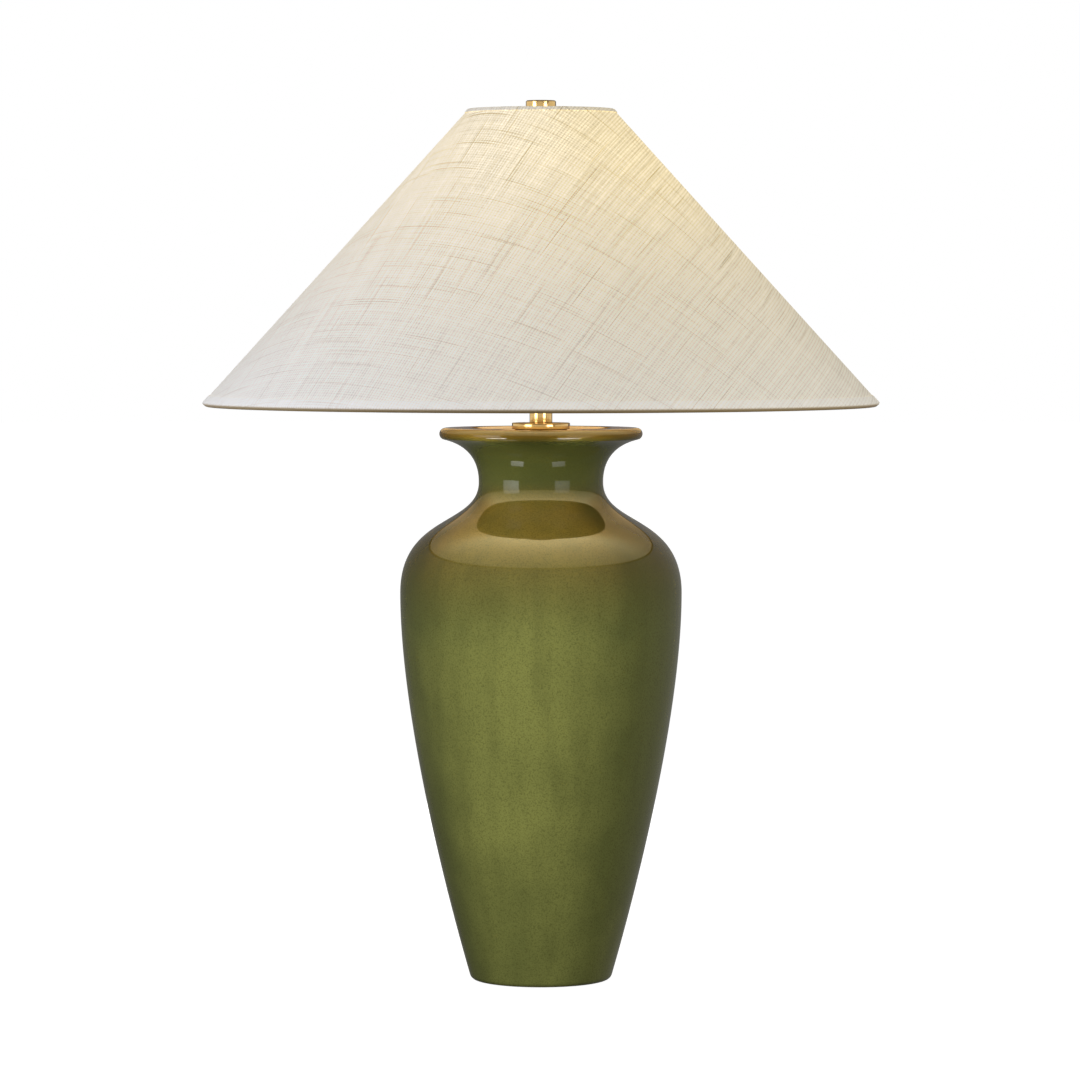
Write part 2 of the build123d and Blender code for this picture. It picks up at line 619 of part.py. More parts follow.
def lamp_parts():
    inlet = cord_inlet()
    top_ring = shade_ring(True)
    return {
        "base_felt": rod(felt_radius, 0, FELT_THICKNESS),
        "ceramic_body": ceramic_body(inlet),
        "cord_bush": cord_bush(inlet),
        "base_nut": base_nut(),
        "base_lock_washer": base_lock_washer(),
        "base_washer": tube(pipe_hole, washer_radius, lock_top, floor_bottom),
        "lamp_pipe": tube(PIPE_BORE, PIPE_RADIUS, pipe_bottom, dome_bottom + SHELL_WALL + PIPE_END),
        "cap_gasket": tube(pipe_hole, DISC_RADIUS - GASKET_INSET, seat_z, disc_bottom),
        "cap_disc": cap_disc(),
        "neck_tube": tube(STEM_RADIUS - STEM_WALL, STEM_RADIUS, disc_top, saddle_bottom),
        "harp_saddle": harp_saddle(),
        "socket_cap": socket_cap(),
        "socket_set_screw": socket_set_screw(),
        "socket_shell": socket_sleeve(shell_bore, shell_radius, screw_shell_top + SHELL_LIP),
        "socket_insulator": socket_sleeve(insulator_bore, insulator_radius, screw_shell_top),
        "socket_body": socket_body(),
        "terminal_screws": terminal_screws(),
        "screw_shell": rolled_shell(screw_shell_bore, SCREW_SHELL_WALL, body_top, SCREW_SHELL_LENGTH),
        "centre_contact": centre_contact(),
        "switch_shaft": switch_shaft(),
        "switch_knob": switch_knob(),
        "bulb_contact": bulb_contact(),
        "bulb_insulator": bulb_insulator(),
        "bulb_cap": rolled_shell(cap_root - CAP_WALL, CAP_WALL, cap_bottom, CAP_LENGTH),
        "bulb_housing": bulb_housing(),
        "led_board": rod(GLOBE_SEAT - BOARD_MARGIN, housing_top, housing_top + BOARD_THICKNESS),
        "bulb_globe": bulb_globe(),
        "harp_bow": harp_bow(),
        "harp_stud": harp_stud(),
        "left_ferrule": ferrule(-1),
        "right_ferrule": ferrule(1),
        "spider_washer": tube(STUD_RADIUS + AIR, spider_washer_radius, shade_seat, washer_top),
        "spider_arms": Compound(children=[arm - top_ring for arm in spider_arms(ARM_RADIUS)]),
        "top_ring": top_ring,
        "bottom_ring": shade_ring(False),
        "shade_lining": shade_sheet(lining_face, lining_back),
        "shade_linen": shade_sheet(0, LINEN),
        "top_trim": shade_trim(True, TOP_TRIM_WIDTH) - spider_arms(ARM_RADIUS + SLIP),
        "bottom_trim": shade_trim(False, BOTTOM_TRIM_WIDTH),
        "finial_insert": tube(STUD_RADIUS + RUNNING, insert_radius, washer_top, insert_top),
        "finial_knob": finial_knob(),
    }


os.makedirs("parts", exist_ok=True)
for name, shape in lamp_parts().items():
    export_step(shape, f"parts/{name}.step")
    print(name, round(shape.volume), shape.bounding_box().size)
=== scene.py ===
# %% [markdown]
# # A ceramic table lamp, dressed for its picture
# The lamp comes as a frame of solid parts at their real size: a jar, brass fittings, a socket with its bulb,
# a wire harp and a conical shade. This lesson gives every part its finish, and makes anew the pieces whose
# look a plain solid can't give: the glazed jar, the turned brass, the linen, its hems and the felt.
# The frame is loaded first, and nothing in it is moved.

# %% Load the frame
import json
from math import atan2, cos, degrees, hypot, pi, radians, sin, tan

import bmesh
import bpy
import numpy as np
from mathutils import Matrix, Vector


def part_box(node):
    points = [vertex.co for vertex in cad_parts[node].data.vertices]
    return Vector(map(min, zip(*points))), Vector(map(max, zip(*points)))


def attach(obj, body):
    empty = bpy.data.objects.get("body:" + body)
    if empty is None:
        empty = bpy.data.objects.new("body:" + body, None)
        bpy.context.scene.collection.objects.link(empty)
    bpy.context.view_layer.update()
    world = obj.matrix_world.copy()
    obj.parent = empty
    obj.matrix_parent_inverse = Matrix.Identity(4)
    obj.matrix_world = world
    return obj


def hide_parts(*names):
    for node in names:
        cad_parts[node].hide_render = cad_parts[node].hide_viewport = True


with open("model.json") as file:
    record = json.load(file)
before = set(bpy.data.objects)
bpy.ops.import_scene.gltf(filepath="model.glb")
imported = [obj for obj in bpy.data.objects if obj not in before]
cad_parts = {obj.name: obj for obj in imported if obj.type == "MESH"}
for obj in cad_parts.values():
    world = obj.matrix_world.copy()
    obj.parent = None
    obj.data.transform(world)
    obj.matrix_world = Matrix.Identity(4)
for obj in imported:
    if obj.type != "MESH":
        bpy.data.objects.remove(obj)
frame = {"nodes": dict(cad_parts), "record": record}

scene = bpy.context.scene
nodes = frame["nodes"]
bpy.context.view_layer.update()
mm = 0.001

# %% [markdown]
# ## The camera
# The photograph looks almost level at the lamp through a long lens, so that the shade's rim is nearly a
# straight line. A long lens far away does the same here. The camera points at the spot on the lamp's axis
# that lies in the middle of the picture, and its height sets how round the rims of foot, lip and shade look.

# %% Camera
CAMERA_DISTANCE = 4.168
CAMERA_HEIGHT = 0.570
CAMERA_SIDE = -0.0008
AIM_HEIGHT = 0.3724
LENS_MM = 165

lens = bpy.data.cameras.new("long_lens")
lens.lens = LENS_MM
camera = bpy.data.objects.new("camera", lens)
camera.location = (CAMERA_SIDE, -CAMERA_DISTANCE, CAMERA_HEIGHT)
aim = Vector((CAMERA_SIDE, 0, AIM_HEIGHT))
camera.rotation_euler = (aim - camera.location).to_track_quat("-Z", "Y").to_euler()
scene.collection.objects.link(camera)
scene.camera = camera
dip = degrees(atan2(CAMERA_HEIGHT - AIM_HEIGHT, CAMERA_DISTANCE))
print("camera looks down by", round(dip, 2), "degrees")

# %% [markdown]
# ## Colours and nodes
# Colours are picked as sRGB hex values, as on a screen, and shaders work in linear light, so one function
# turns the one into the other. A second function adds a shader node: it takes the node's settings, and for
# each socket a value, another node, or one output of another node. Patterns are measured on the lamp itself,
# in metres, so a pattern of a given size in millimetres needs the scale that the third function works out.

# %% Helpers for materials
MIX_A, MIX_B = 6, 7  # the colour sockets of a Mix node


def linear(hex_colour, strength=1):
    """The linear colour of an sRGB hex value, times a strength where it is a glow."""
    parts = [int(hex_colour[i:i + 2], 16) / 255 for i in (1, 3, 5)]
    light = [c / 12.92 if c <= 0.04045 else ((c + 0.055) / 1.055) ** 2.4 for c in parts]
    return [strength * c for c in light] + [1]


def add(finish, kind, inputs=None, **settings):
    """Adds a node to a finish. A socket gets a value, or a link from another node or one of its outputs."""
    tree = finish.node_tree
    node = tree.nodes.new("ShaderNode" + kind)
    for name, value in settings.items():
        setattr(node, name, value)
    for socket, value in (inputs or {}).items():
        if isinstance(value, bpy.types.Node):
            value = next(out for out in value.outputs if out.enabled)
        if isinstance(value, bpy.types.NodeSocket):
            tree.links.new(value, node.inputs[socket])
        else:
            node.inputs[socket].default_value = value
    return node


def per(size_mm):
    """The texture scale at which a pattern's features are about this many millimetres across."""
    return 1 / (size_mm * mm)


def new_finish(name):
    """An empty material, and the coordinates of the lamp in metres for its patterns."""
    finish = bpy.data.materials.new(name)
    finish.use_nodes = True
    finish.node_tree.nodes.clear()
    return finish, add(finish, "TexCoord").outputs["Object"]


WHITE, BLACK = linear("#ffffff"), linear("#000000")
print("white is", WHITE, "and black is", BLACK)

# %% [markdown]
# ## The studio
# The photograph shows the lamp cut out on white, while the glaze mirrors a rather dark room. A picture of a
# real room could light the scene. A soft grey that is darker below does it with a few nodes, and leaves no
# strange shapes in the glaze. The wall behind the lamp is brighter to the right, which gives the glazed edge
# there a pale rim.

# %% Grey room
ROOM_BELOW, ROOM_ABOVE = 0.035, 0.23
WALL_HEADING, WALL_LIGHT = (0.5, 0.87, 0), 0.11

scene.view_settings.view_transform = "Standard"
room = bpy.data.worlds.new("grey_room")
room.use_nodes = True
room.node_tree.nodes.clear()
scene.world = room
sight = add(room, "TexCoord").outputs["Generated"]
heading = add(room, "SeparateXYZ", {"Vector": sight})
level = add(room, "MapRange", {
    "Value": heading.outputs["Z"], "From Min": -0.5, "From Max": 0.7,
    "To Min": ROOM_BELOW, "To Max": ROOM_ABOVE,
})
to_wall = add(room, "VectorMath", {0: sight, 1: WALL_HEADING}, operation="DOT_PRODUCT")
wall = add(room, "MapRange", {"Value": to_wall, "From Min": 0.4, "From Max": 1.0, "To Max": WALL_LIGHT})
level = add(room, "Math", {0: level, 1: wall}, operation="ADD")
light = add(room, "Background", {"Color": linear("#fdfbf8"), "Strength": level})
add(room, "OutputWorld", {"Surface": light})
print("room brightness from", ROOM_BELOW, "below to", ROOM_ABOVE, "above")

# %% [markdown]
# The photograph is put together from several exposures: the shade is lit from both sides, the jar from the
# front, and glaze and brass mirror only small bright cards. A photographer gets this with flags and with
# grids that narrow a lamp's beam. Here each lamp is told which pieces it lights, once they are made, and the
# large softboxes are kept out of every mirror image.

# %% Softboxes
def lamp(name, azimuth, distance, width, bottom, top, radiance, colour="#ffffff", beam=180, tilt=0):
    """A rectangular lamp that faces the axis. Azimuth, beam and upward tilt are in degrees."""
    shape = bpy.data.lights.new(name, "AREA")
    shape.shape = "RECTANGLE"
    shape.size = width
    shape.size_y = top - bottom
    shape.color = linear(colour)[:3]
    shape.energy = radiance * pi * width * (top - bottom)
    if beam < 180:
        # Blender puts the same power into a narrow beam, so the power goes down to keep the radiance.
        half = radians(beam) / 2
        shape.spread = 2 * half
        shape.energy *= 1 - half / tan(half)
    box = bpy.data.objects.new(name, shape)
    a = radians(azimuth)
    box.location = (distance * sin(a), -distance * cos(a), (bottom + top) / 2)
    facing = Vector((-sin(a), cos(a), tan(radians(tilt))))
    box.rotation_euler = facing.to_track_quat("-Z", "Y").to_euler()
    box.visible_camera = False
    scene.collection.objects.link(box)
    return box


# In each row: name, azimuth, distance from the axis, width, bottom and top edge, radiance and colour.
shade_lamps = [
    lamp("left_softbox", -62, 1.5, 0.9, 0.48, 1.20, 7.6, "#d9e4ff"),
    lamp("right_softbox", 48, 1.5, 0.9, 0.48, 1.20, 4.6, "#f0f5ff"),
    lamp("rear_softbox", 180, 1.5, 0.9, 0.48, 1.20, 4.5),
]
jar_lamps = [
    lamp("front_softbox", -13, 1.5, 0.8, 0.03, 0.75, 7.4, "#f5fcff"),
    lamp("side_softbox", 105, 1.5, 0.6, 0.03, 0.75, 4.7),
    lamp("back_softbox", -165, 1.5, 0.8, 0.03, 0.75, 3.5),
    lamp("edge_softbox", -100, 1.5, 0.6, 0.03, 0.75, 2.2, "#f5fcff"),
]
for softbox in shade_lamps + jar_lamps:
    softbox.visible_glossy = False
print("softboxes:", [box.name for box in shade_lamps + jar_lamps])

# %% [markdown]
# Glaze and brass are mirrors, and the eye knows them by the bright shapes that they show. They get cards of
# their own: small ones close to the jar's neck and lip, two upright strips beside the brass, and wide dim
# ones that fill the dark between the strips.

# %% Cards for glaze and brass
neck_cards = [
    lamp("neck_left_card", -49, 0.16, 0.080, 0.409, 0.475, 2.6, beam=90),
    lamp("neck_right_card", 34, 0.16, 0.070, 0.409, 0.475, 1.2, beam=90),
    lamp("flare_left_card", -34, 0.090, 0.030, 0.390, 0.402, 3.4, beam=90, tilt=62),
    lamp("flare_right_card", 25, 0.090, 0.030, 0.390, 0.402, 1.9, beam=90, tilt=62),
    lamp("lip_left_card", -36, 0.112, 0.036, 0.427, 0.434, 32.0, beam=80, tilt=60),
    lamp("lip_right_card", 22, 0.112, 0.036, 0.427, 0.434, 30.0, beam=80, tilt=60),
]
brass_cards = [
    lamp("brass_left_strip", -51, 0.6, 0.27, 0.30, 0.90, 6.0),
    lamp("brass_right_strip", 35, 0.6, 0.24, 0.30, 0.90, 5.4),
    lamp("brass_left_fill", -105, 1.2, 2.0, 0.20, 1.10, 0.75),
    lamp("brass_front_fill", -6, 1.2, 2.2, 0.20, 1.10, 0.62),
    lamp("brass_right_fill", 95, 1.2, 2.0, 0.20, 1.10, 0.65),
]
print("cards:", [card.name for card in neck_cards + brass_cards])

# %% [markdown]
# The white round the lamp is only for the eye of the camera: a floor and a dome that reflections and bounced
# light don't see. A white world would be less work, but the glaze would mirror it. The floor is white paper
# that glows a little, so that only the faintest shadow shows. From below it is see-through.

# %% White floor and dome
FLOOR_RADIUS, FLOOR_SIDES = 20, 64
DOME_RADIUS = 25
PAPER_GLOW = 0.95


def seen_by_camera_only(stage, finish):
    stage.visible_glossy = False
    stage.visible_diffuse = False
    stage.visible_transmission = False
    stage.visible_shadow = False
    stage.data.materials.append(finish)


paper, _ = new_finish("white_paper")
sheen = add(paper, "BsdfPrincipled", {
    "Base Color": linear("#aaaaa8"), "Roughness": 0.9, "Specular IOR Level": 0.0,
    "Emission Color": WHITE, "Emission Strength": PAPER_GLOW,
})
under = add(paper, "NewGeometry").outputs["Backfacing"]
sides = add(paper, "MixShader", {"Fac": under, 1: sheen, 2: add(paper, "BsdfTransparent")})
add(paper, "OutputMaterial", {"Surface": sides})

floor_mesh = bpy.data.meshes.new("floor")
corners = [2 * pi * i / FLOOR_SIDES for i in range(FLOOR_SIDES)]
edge = [(FLOOR_RADIUS * cos(a), FLOOR_RADIUS * sin(a), 0) for a in corners]
floor_mesh.from_pydata(edge, [], [list(range(FLOOR_SIDES))])
floor = bpy.data.objects.new("floor", floor_mesh)
scene.collection.objects.link(floor)
seen_by_camera_only(floor, paper)

backdrop, _ = new_finish("white_backdrop")
shine = add(backdrop, "Emission", {"Color": WHITE, "Strength": 1.0})
add(backdrop, "OutputMaterial", {"Surface": shine})
bpy.ops.mesh.primitive_uv_sphere_add(segments=32, ring_count=16, radius=DOME_RADIUS)
dome = bpy.context.object
dome.name = "dome"
seen_by_camera_only(dome, backdrop)
print("stage:", floor.name, dome.name)

# %% [markdown]
# ## Turning on a lathe
# The jar was thrown on a wheel and the brass was turned on a lathe, so both are an outline swung round the
# lamp's axis. Blender has a Screw modifier for that. A few lines of mesh code do the same and let the outline
# close on itself, which gives a watertight piece with no doubled edge where the turn meets its start.
# An outline is a list of (radius, height) in metres, put together from curves and rounds.

# %% Curves of an outline
def bezier(start, pull, push, end, steps):
    """Points of a cubic curve in (radius, height), without its first point."""
    t = np.linspace(0, 1, steps + 1)[1:, None]
    start, pull, push, end = (np.array(p) for p in (start, pull, push, end))
    return list((1 - t)**3 * start + 3 * (1 - t)**2 * t * pull + 3 * (1 - t) * t**2 * push + t**3 * end)


def arc(middle, radius, first, last, steps):
    """Points of a round from one angle to another, in degrees from outward."""
    turns = np.radians(np.linspace(first, last, steps + 1))
    return [np.array((middle[0] + radius * cos(a), middle[1] + radius * sin(a))) for a in turns]


print("a quarter round in two steps:", np.round(arc((0, 0), 1, 0, 90, 2), 3).tolist())

# %% Turned pieces
TURN_STEPS = 256
SHARP_EDGE = 40    # an edge that bends by more degrees than this stays crisp
SAME_POINT = 1e-7  # points on the axis that are closer than this become one


def new_piece(name, points, faces, finish, sharp=SHARP_EDGE):
    """A smooth mesh whose edges sharper than the given angle stay crisp."""
    mesh = bpy.data.meshes.new(name)
    mesh.from_pydata([tuple(p) for p in points], [], faces)
    mesh.polygons.foreach_set("use_smooth", [True] * len(mesh.polygons))
    mesh.set_sharp_from_angle(angle=radians(sharp))
    mesh.materials.append(finish)
    piece = bpy.data.objects.new(name, mesh)
    scene.collection.objects.link(piece)
    return piece


def turned(name, outline, finish):
    """A piece swung round the axis from a closed outline of (radius, height), anticlockwise."""
    outline = np.array(outline)
    count = len(outline)
    turns = np.linspace(0, 2 * pi, TURN_STEPS, endpoint=False)
    points = [(r * cos(a), r * sin(a), z) for a in turns for r, z in outline]
    faces = []
    for i in range(TURN_STEPS):
        here, there = i * count, (i + 1) % TURN_STEPS * count
        for j in range(count):
            k = (j + 1) % count
            if outline[j, 0] > 0 or outline[k, 0] > 0:
                faces.append((here + j, there + j, there + k, here + k))
    piece = new_piece(name, points, faces, finish)
    if (outline[:, 0] == 0).any():
        work = bmesh.new()
        work.from_mesh(piece.data)
        bmesh.ops.remove_doubles(work, verts=work.verts, dist=SAME_POINT)
        work.to_mesh(piece.data)
        work.free()
    return piece


print("a turn has", TURN_STEPS, "steps of", 360 / TURN_STEPS, "degrees")

# %% [markdown]
# ## The glaze
# An olive glaze over stoneware, fired glossy. A glaze is glass, so the shader is a smooth dielectric with the
# index of glass over a coloured body. Light and shade are painted into that colour: the front of the belly is
# paler, which is painted light from the front, the shoulder has the warm light of the lit lampshade painted
# on, with painted shade at its sides, and the neck is darker, which is painted shade under the lip and
# lampshade.
# The lip is amber where the glaze thins, with a warm reflection of the lit lampshade painted in. Such zones
# could be painted on the mesh by hand. A rule by height and side needs no picture, and its edges are as soft
# as sprayed ones.

# %% Zones of the jar
FRONT_OFFSET = 0.20  # the middle of the pale front lies this far to the left, in radians
FRONT_EDGE = 0.60    # cosine of the turn at which the front ends


def facing_front(finish, axes):
    """How far a spot of the jar lies in front: 1 in the middle, and 0 at the sides and behind."""
    forward = add(finish, "Math", {0: axes.outputs["Y"], 1: -1.0}, operation="MULTIPLY")
    turn = add(finish, "Math", {0: axes.outputs["X"], 1: forward}, operation="ARCTAN2")
    offset = add(finish, "Math", {0: turn, 1: FRONT_OFFSET}, operation="ADD")
    facing = add(finish, "Math", {0: offset}, operation="COSINE")
    return add(finish, "MapRange", {"Value": facing, "From Min": FRONT_EDGE, "From Max": 1.0},
               interpolation_type="SMOOTHSTEP")


def belt(finish, height, comes, goes, least=0.0):
    """A zone round the jar that comes between two heights and goes between two others."""
    rise = add(finish, "MapRange", {
        "Value": height, "From Min": comes[0], "From Max": comes[1], "To Min": least,
    }, interpolation_type="SMOOTHSTEP")
    fall = add(finish, "MapRange", {"Value": height, "From Min": goes[1], "From Max": goes[0]},
               interpolation_type="SMOOTHSTEP")
    return add(finish, "Math", {0: rise, 1: fall}, operation="MULTIPLY")


def radius_from_axis(finish, place):
    """How far a spot lies from the lamp's axis."""
    flat = add(finish, "VectorMath", {0: place, 1: (1, 1, 0)}, operation="MULTIPLY")
    return add(finish, "VectorMath", {0: flat}, operation="LENGTH")


print("the pale front is", round(2 * degrees(np.arccos(FRONT_EDGE))), "degrees wide")

# %% [markdown]
# The zones make the body of the glaze, with slow clouds where it lies thicker. The paler front of the belly
# is painted light from the front, fading towards the foot and the shoulder. Round the shoulder the warm light
# of the
# lit lampshade is painted on: golden in front, and dark brown at the sides, which is painted shade.

# %% Body of the glaze
BELLY_COMES, BELLY_GOES, BELLY_AT_FOOT = (0.02, 0.24), (0.27, 0.37), 0.45
SHOULDER_COMES, SHOULDER_GOES = (0.295, 0.385), (0.400, 0.425)
# Shares of the shoulder's painted light and shade at the sides and in front.
LIGHT_AND_SHADE_AT_SIDES, LIGHT_AND_SHADE_IN_FRONT = 0.70, 0.32
NECK_FROM, NECK_TO, NECK_SHADE = 0.380, 0.418, 0.7
CLOUD_MM, CLOUD_SHARE = 70, 0.26


def glaze_body(finish, place, axes):
    height = axes.outputs["Z"]
    # Painted light: the front of the belly is paler, as if lit from the front, and fades towards the foot and
    # shoulder.
    front = facing_front(finish, axes)
    belly = belt(finish, height, BELLY_COMES, BELLY_GOES, BELLY_AT_FOOT)
    pale = add(finish, "Math", {0: belly, 1: front}, operation="MULTIPLY")
    cloud = add(finish, "TexNoise", {
        "Vector": place, "Scale": per(CLOUD_MM), "Detail": 3.0, "Roughness": 0.55,
    })
    thin = add(finish, "MapRange", {
        "Value": cloud, "From Min": 0.30, "From Max": 0.70, "To Min": -CLOUD_SHARE, "To Max": CLOUD_SHARE,
    })
    lit_front_and_clouds = add(finish, "Math", {0: pale, 1: thin}, operation="ADD")
    olive = add(finish, "Mix", {
        0: lit_front_and_clouds, MIX_A: linear("#70733c"), MIX_B: linear("#9c9c52"),
    }, data_type="RGBA")
    # Painted shade: the neck is darkened where lip and lampshade shade it.
    neck = add(finish, "MapRange", {
        "Value": height, "From Min": NECK_FROM, "From Max": NECK_TO, "To Max": NECK_SHADE,
    }, interpolation_type="SMOOTHSTEP")
    body = add(finish, "Mix", {0: neck, MIX_A: olive, MIX_B: linear("#484b20")}, data_type="RGBA")
    # Painted light and shade: the lit lampshade's warm light on the shoulder, golden in front, dark brown at
    # the sides.
    shoulder = belt(finish, height, SHOULDER_COMES, SHOULDER_GOES)
    share = add(finish, "MapRange", {"Value": front, "To Min": LIGHT_AND_SHADE_AT_SIDES, "To Max": LIGHT_AND_SHADE_IN_FRONT})
    warmth = add(finish, "Math", {0: shoulder, 1: share}, operation="MULTIPLY")
    lamplight_and_shade = add(finish, "Mix", {
        0: front, MIX_A: linear("#51390d"), MIX_B: linear("#b58630"),
    }, data_type="RGBA")
    return add(finish, "Mix", {0: warmth, MIX_A: body, MIX_B: lamplight_and_shade}, data_type="RGBA")


print("the pale belly ends at", BELLY_GOES[1], "m and the honey of the shoulder at", SHOULDER_GOES[1], "m")

# %% [markdown]
# Over the body lie faint runs down the side and a fine speck of iron. The lip is brown at its rim and amber
# on top, where the glaze thins; the amber is also a painted warm reflection of the lit lampshade. The surface
# is a little wavy, which bends the edges of what it mirrors. The foot ring was wiped bare before firing, so
# it is dull clay.

# %% Olive glaze
RUN_MM, RUN_STRETCH, RUN_SHARE = 18, 0.10, 0.3
SPECK_MM, SPECK_SHARE = 1.3, 0.6  # specks of half a millimetre are drawn at 1.3 mm, so that they show
LIP_BREAK, LIP_THIN = 0.4572, 0.4622  # between these heights the lip turns amber: thinner glaze, and a painted reflection of the lit lampshade
LIP_DRIFT = 0.002                     # how far the runs push that edge up and down
LIP_TOP, LIP_RIM = 0.0790, 0.0835     # between these radii the amber top turns to the brown rim
FOOT_RING = 0.0012
WAVE_MM = 24


def olive_glaze():
    finish, place = new_finish("olive_glazed_stoneware")
    axes = add(finish, "SeparateXYZ", {"Vector": place})
    height = axes.outputs["Z"]
    body = glaze_body(finish, place, axes)
    run_way = add(finish, "Mapping", {"Vector": place, "Scale": (1, 1, RUN_STRETCH)})
    runs = add(finish, "TexNoise", {"Vector": run_way, "Scale": per(RUN_MM), "Detail": 2.0})
    run = add(finish, "MapRange", {"Value": runs, "From Min": 0.45, "From Max": 0.75, "To Max": RUN_SHARE})
    streaked = add(finish, "Mix", {0: run, MIX_A: body, MIX_B: linear("#5f6131")}, data_type="RGBA")
    speck = add(finish, "TexNoise", {
        "Vector": place, "Scale": per(SPECK_MM), "Detail": 2.0, "Roughness": 0.7,
    })
    iron = add(finish, "MapRange", {
        "Value": speck, "From Min": 0.46, "From Max": 0.72, "To Max": SPECK_SHARE,
    })
    specked = add(finish, "Mix", {0: iron, MIX_A: streaked, MIX_B: linear("#504e22")}, data_type="RGBA")
    edge = add(finish, "Math", {0: runs, 1: LIP_DRIFT, 2: height}, operation="MULTIPLY_ADD")
    amber = add(finish, "MapRange", {"Value": edge, "From Min": LIP_BREAK, "From Max": LIP_THIN})
    radius = radius_from_axis(finish, place)
    rim = add(finish, "MapRange", {"Value": radius, "From Min": LIP_TOP, "From Max": LIP_RIM})
    lip = add(finish, "Mix", {0: rim, MIX_A: linear("#875c14"), MIX_B: linear("#735a1c")}, data_type="RGBA")
    glazed = add(finish, "Mix", {0: amber, MIX_A: specked, MIX_B: lip}, data_type="RGBA")
    bare = add(finish, "Math", {0: height, 1: FOOT_RING}, operation="LESS_THAN")
    colour = add(finish, "Mix", {0: bare, MIX_A: glazed, MIX_B: linear("#c8b391")}, data_type="RGBA")
    gloss = add(finish, "MapRange", {"Value": bare, "To Min": 0.03, "To Max": 0.85})
    wave = add(finish, "TexNoise", {"Vector": place, "Scale": per(WAVE_MM), "Detail": 1.0})
    skin = add(finish, "Bump", {"Height": wave, "Strength": 0.15, "Distance": 0.15 * mm})
    shader = add(finish, "BsdfPrincipled", {
        "Base Color": colour, "Roughness": gloss, "IOR": 1.55, "Normal": skin,
    })
    add(finish, "OutputMaterial", {"Surface": shader})
    return finish


glaze = olive_glaze()
print("made", glaze.name)

# %% [markdown]
# ## The jar
# A baluster jar: it swells from a small foot to high shoulders, draws in to a short neck and flares to a flat
# lip with a slightly dished top. The outline repeats the radii and heights of the solid jar, in metres, with
# many more steps, because a glossy piece shows every facet in its reflections. The inside is there too.

# %% Side of the jar
FOOT, FOOT_LEAN = (0.0589, 0.0008), 0.289
BELLY = (0.1187, 0.328)
NECK = (0.0524, 0.4214)
# How far each curve keeps its first and last direction, as shares of its rise.
FOOT_PULL, FLANK_PULL, SHOULDER_PULL, THROAT_PULL = 0.11, 0.357, 0.715, 0.398


def jar_side(foot, belly, neck, steps):
    """From foot to neck: a flank and a shoulder, both upright at the belly."""
    flank_rise, shoulder_rise = belly[1] - foot[1], neck[1] - belly[1]
    lean = (foot[0] + FOOT_LEAN * FOOT_PULL * flank_rise, foot[1] + FOOT_PULL * flank_rise)
    below = (belly[0], belly[1] - FLANK_PULL * flank_rise)
    above = (belly[0], belly[1] + SHOULDER_PULL * shoulder_rise)
    throat = (neck[0], neck[1] - THROAT_PULL * shoulder_rise)
    return bezier(foot, lean, below, belly, steps) + bezier(belly, above, throat, neck, steps)


print("the jar is", 2 * BELLY[0], "m wide at", BELLY[1], "m")

# %% Outline of the jar
FOOT_ROUND = 0.006
LIP_MIDDLE, LIP_ROUND, LIP_UNDERCUT, FLARE_PULL = (0.0806, 0.462), 0.005, 32, 0.79
TOP_FLAT = (0.034, 0.465)
WALL, LID_BOTTOM, FLOOR_TOP, FLOOR_BOTTOM = 0.007, 0.455, 0.0221, 0.0131
PIPE_HOLE, WASHER_RECESS, FELT_RECESS, FELT_TOP = 0.0052, 0.027, 0.0482, 0.002
FOOT_STEPS, SIDE_STEPS, THROAT_STEPS, LIP_STEPS, DISH_STEPS, INSIDE_STEPS = 10, 70, 40, 24, 16, 20


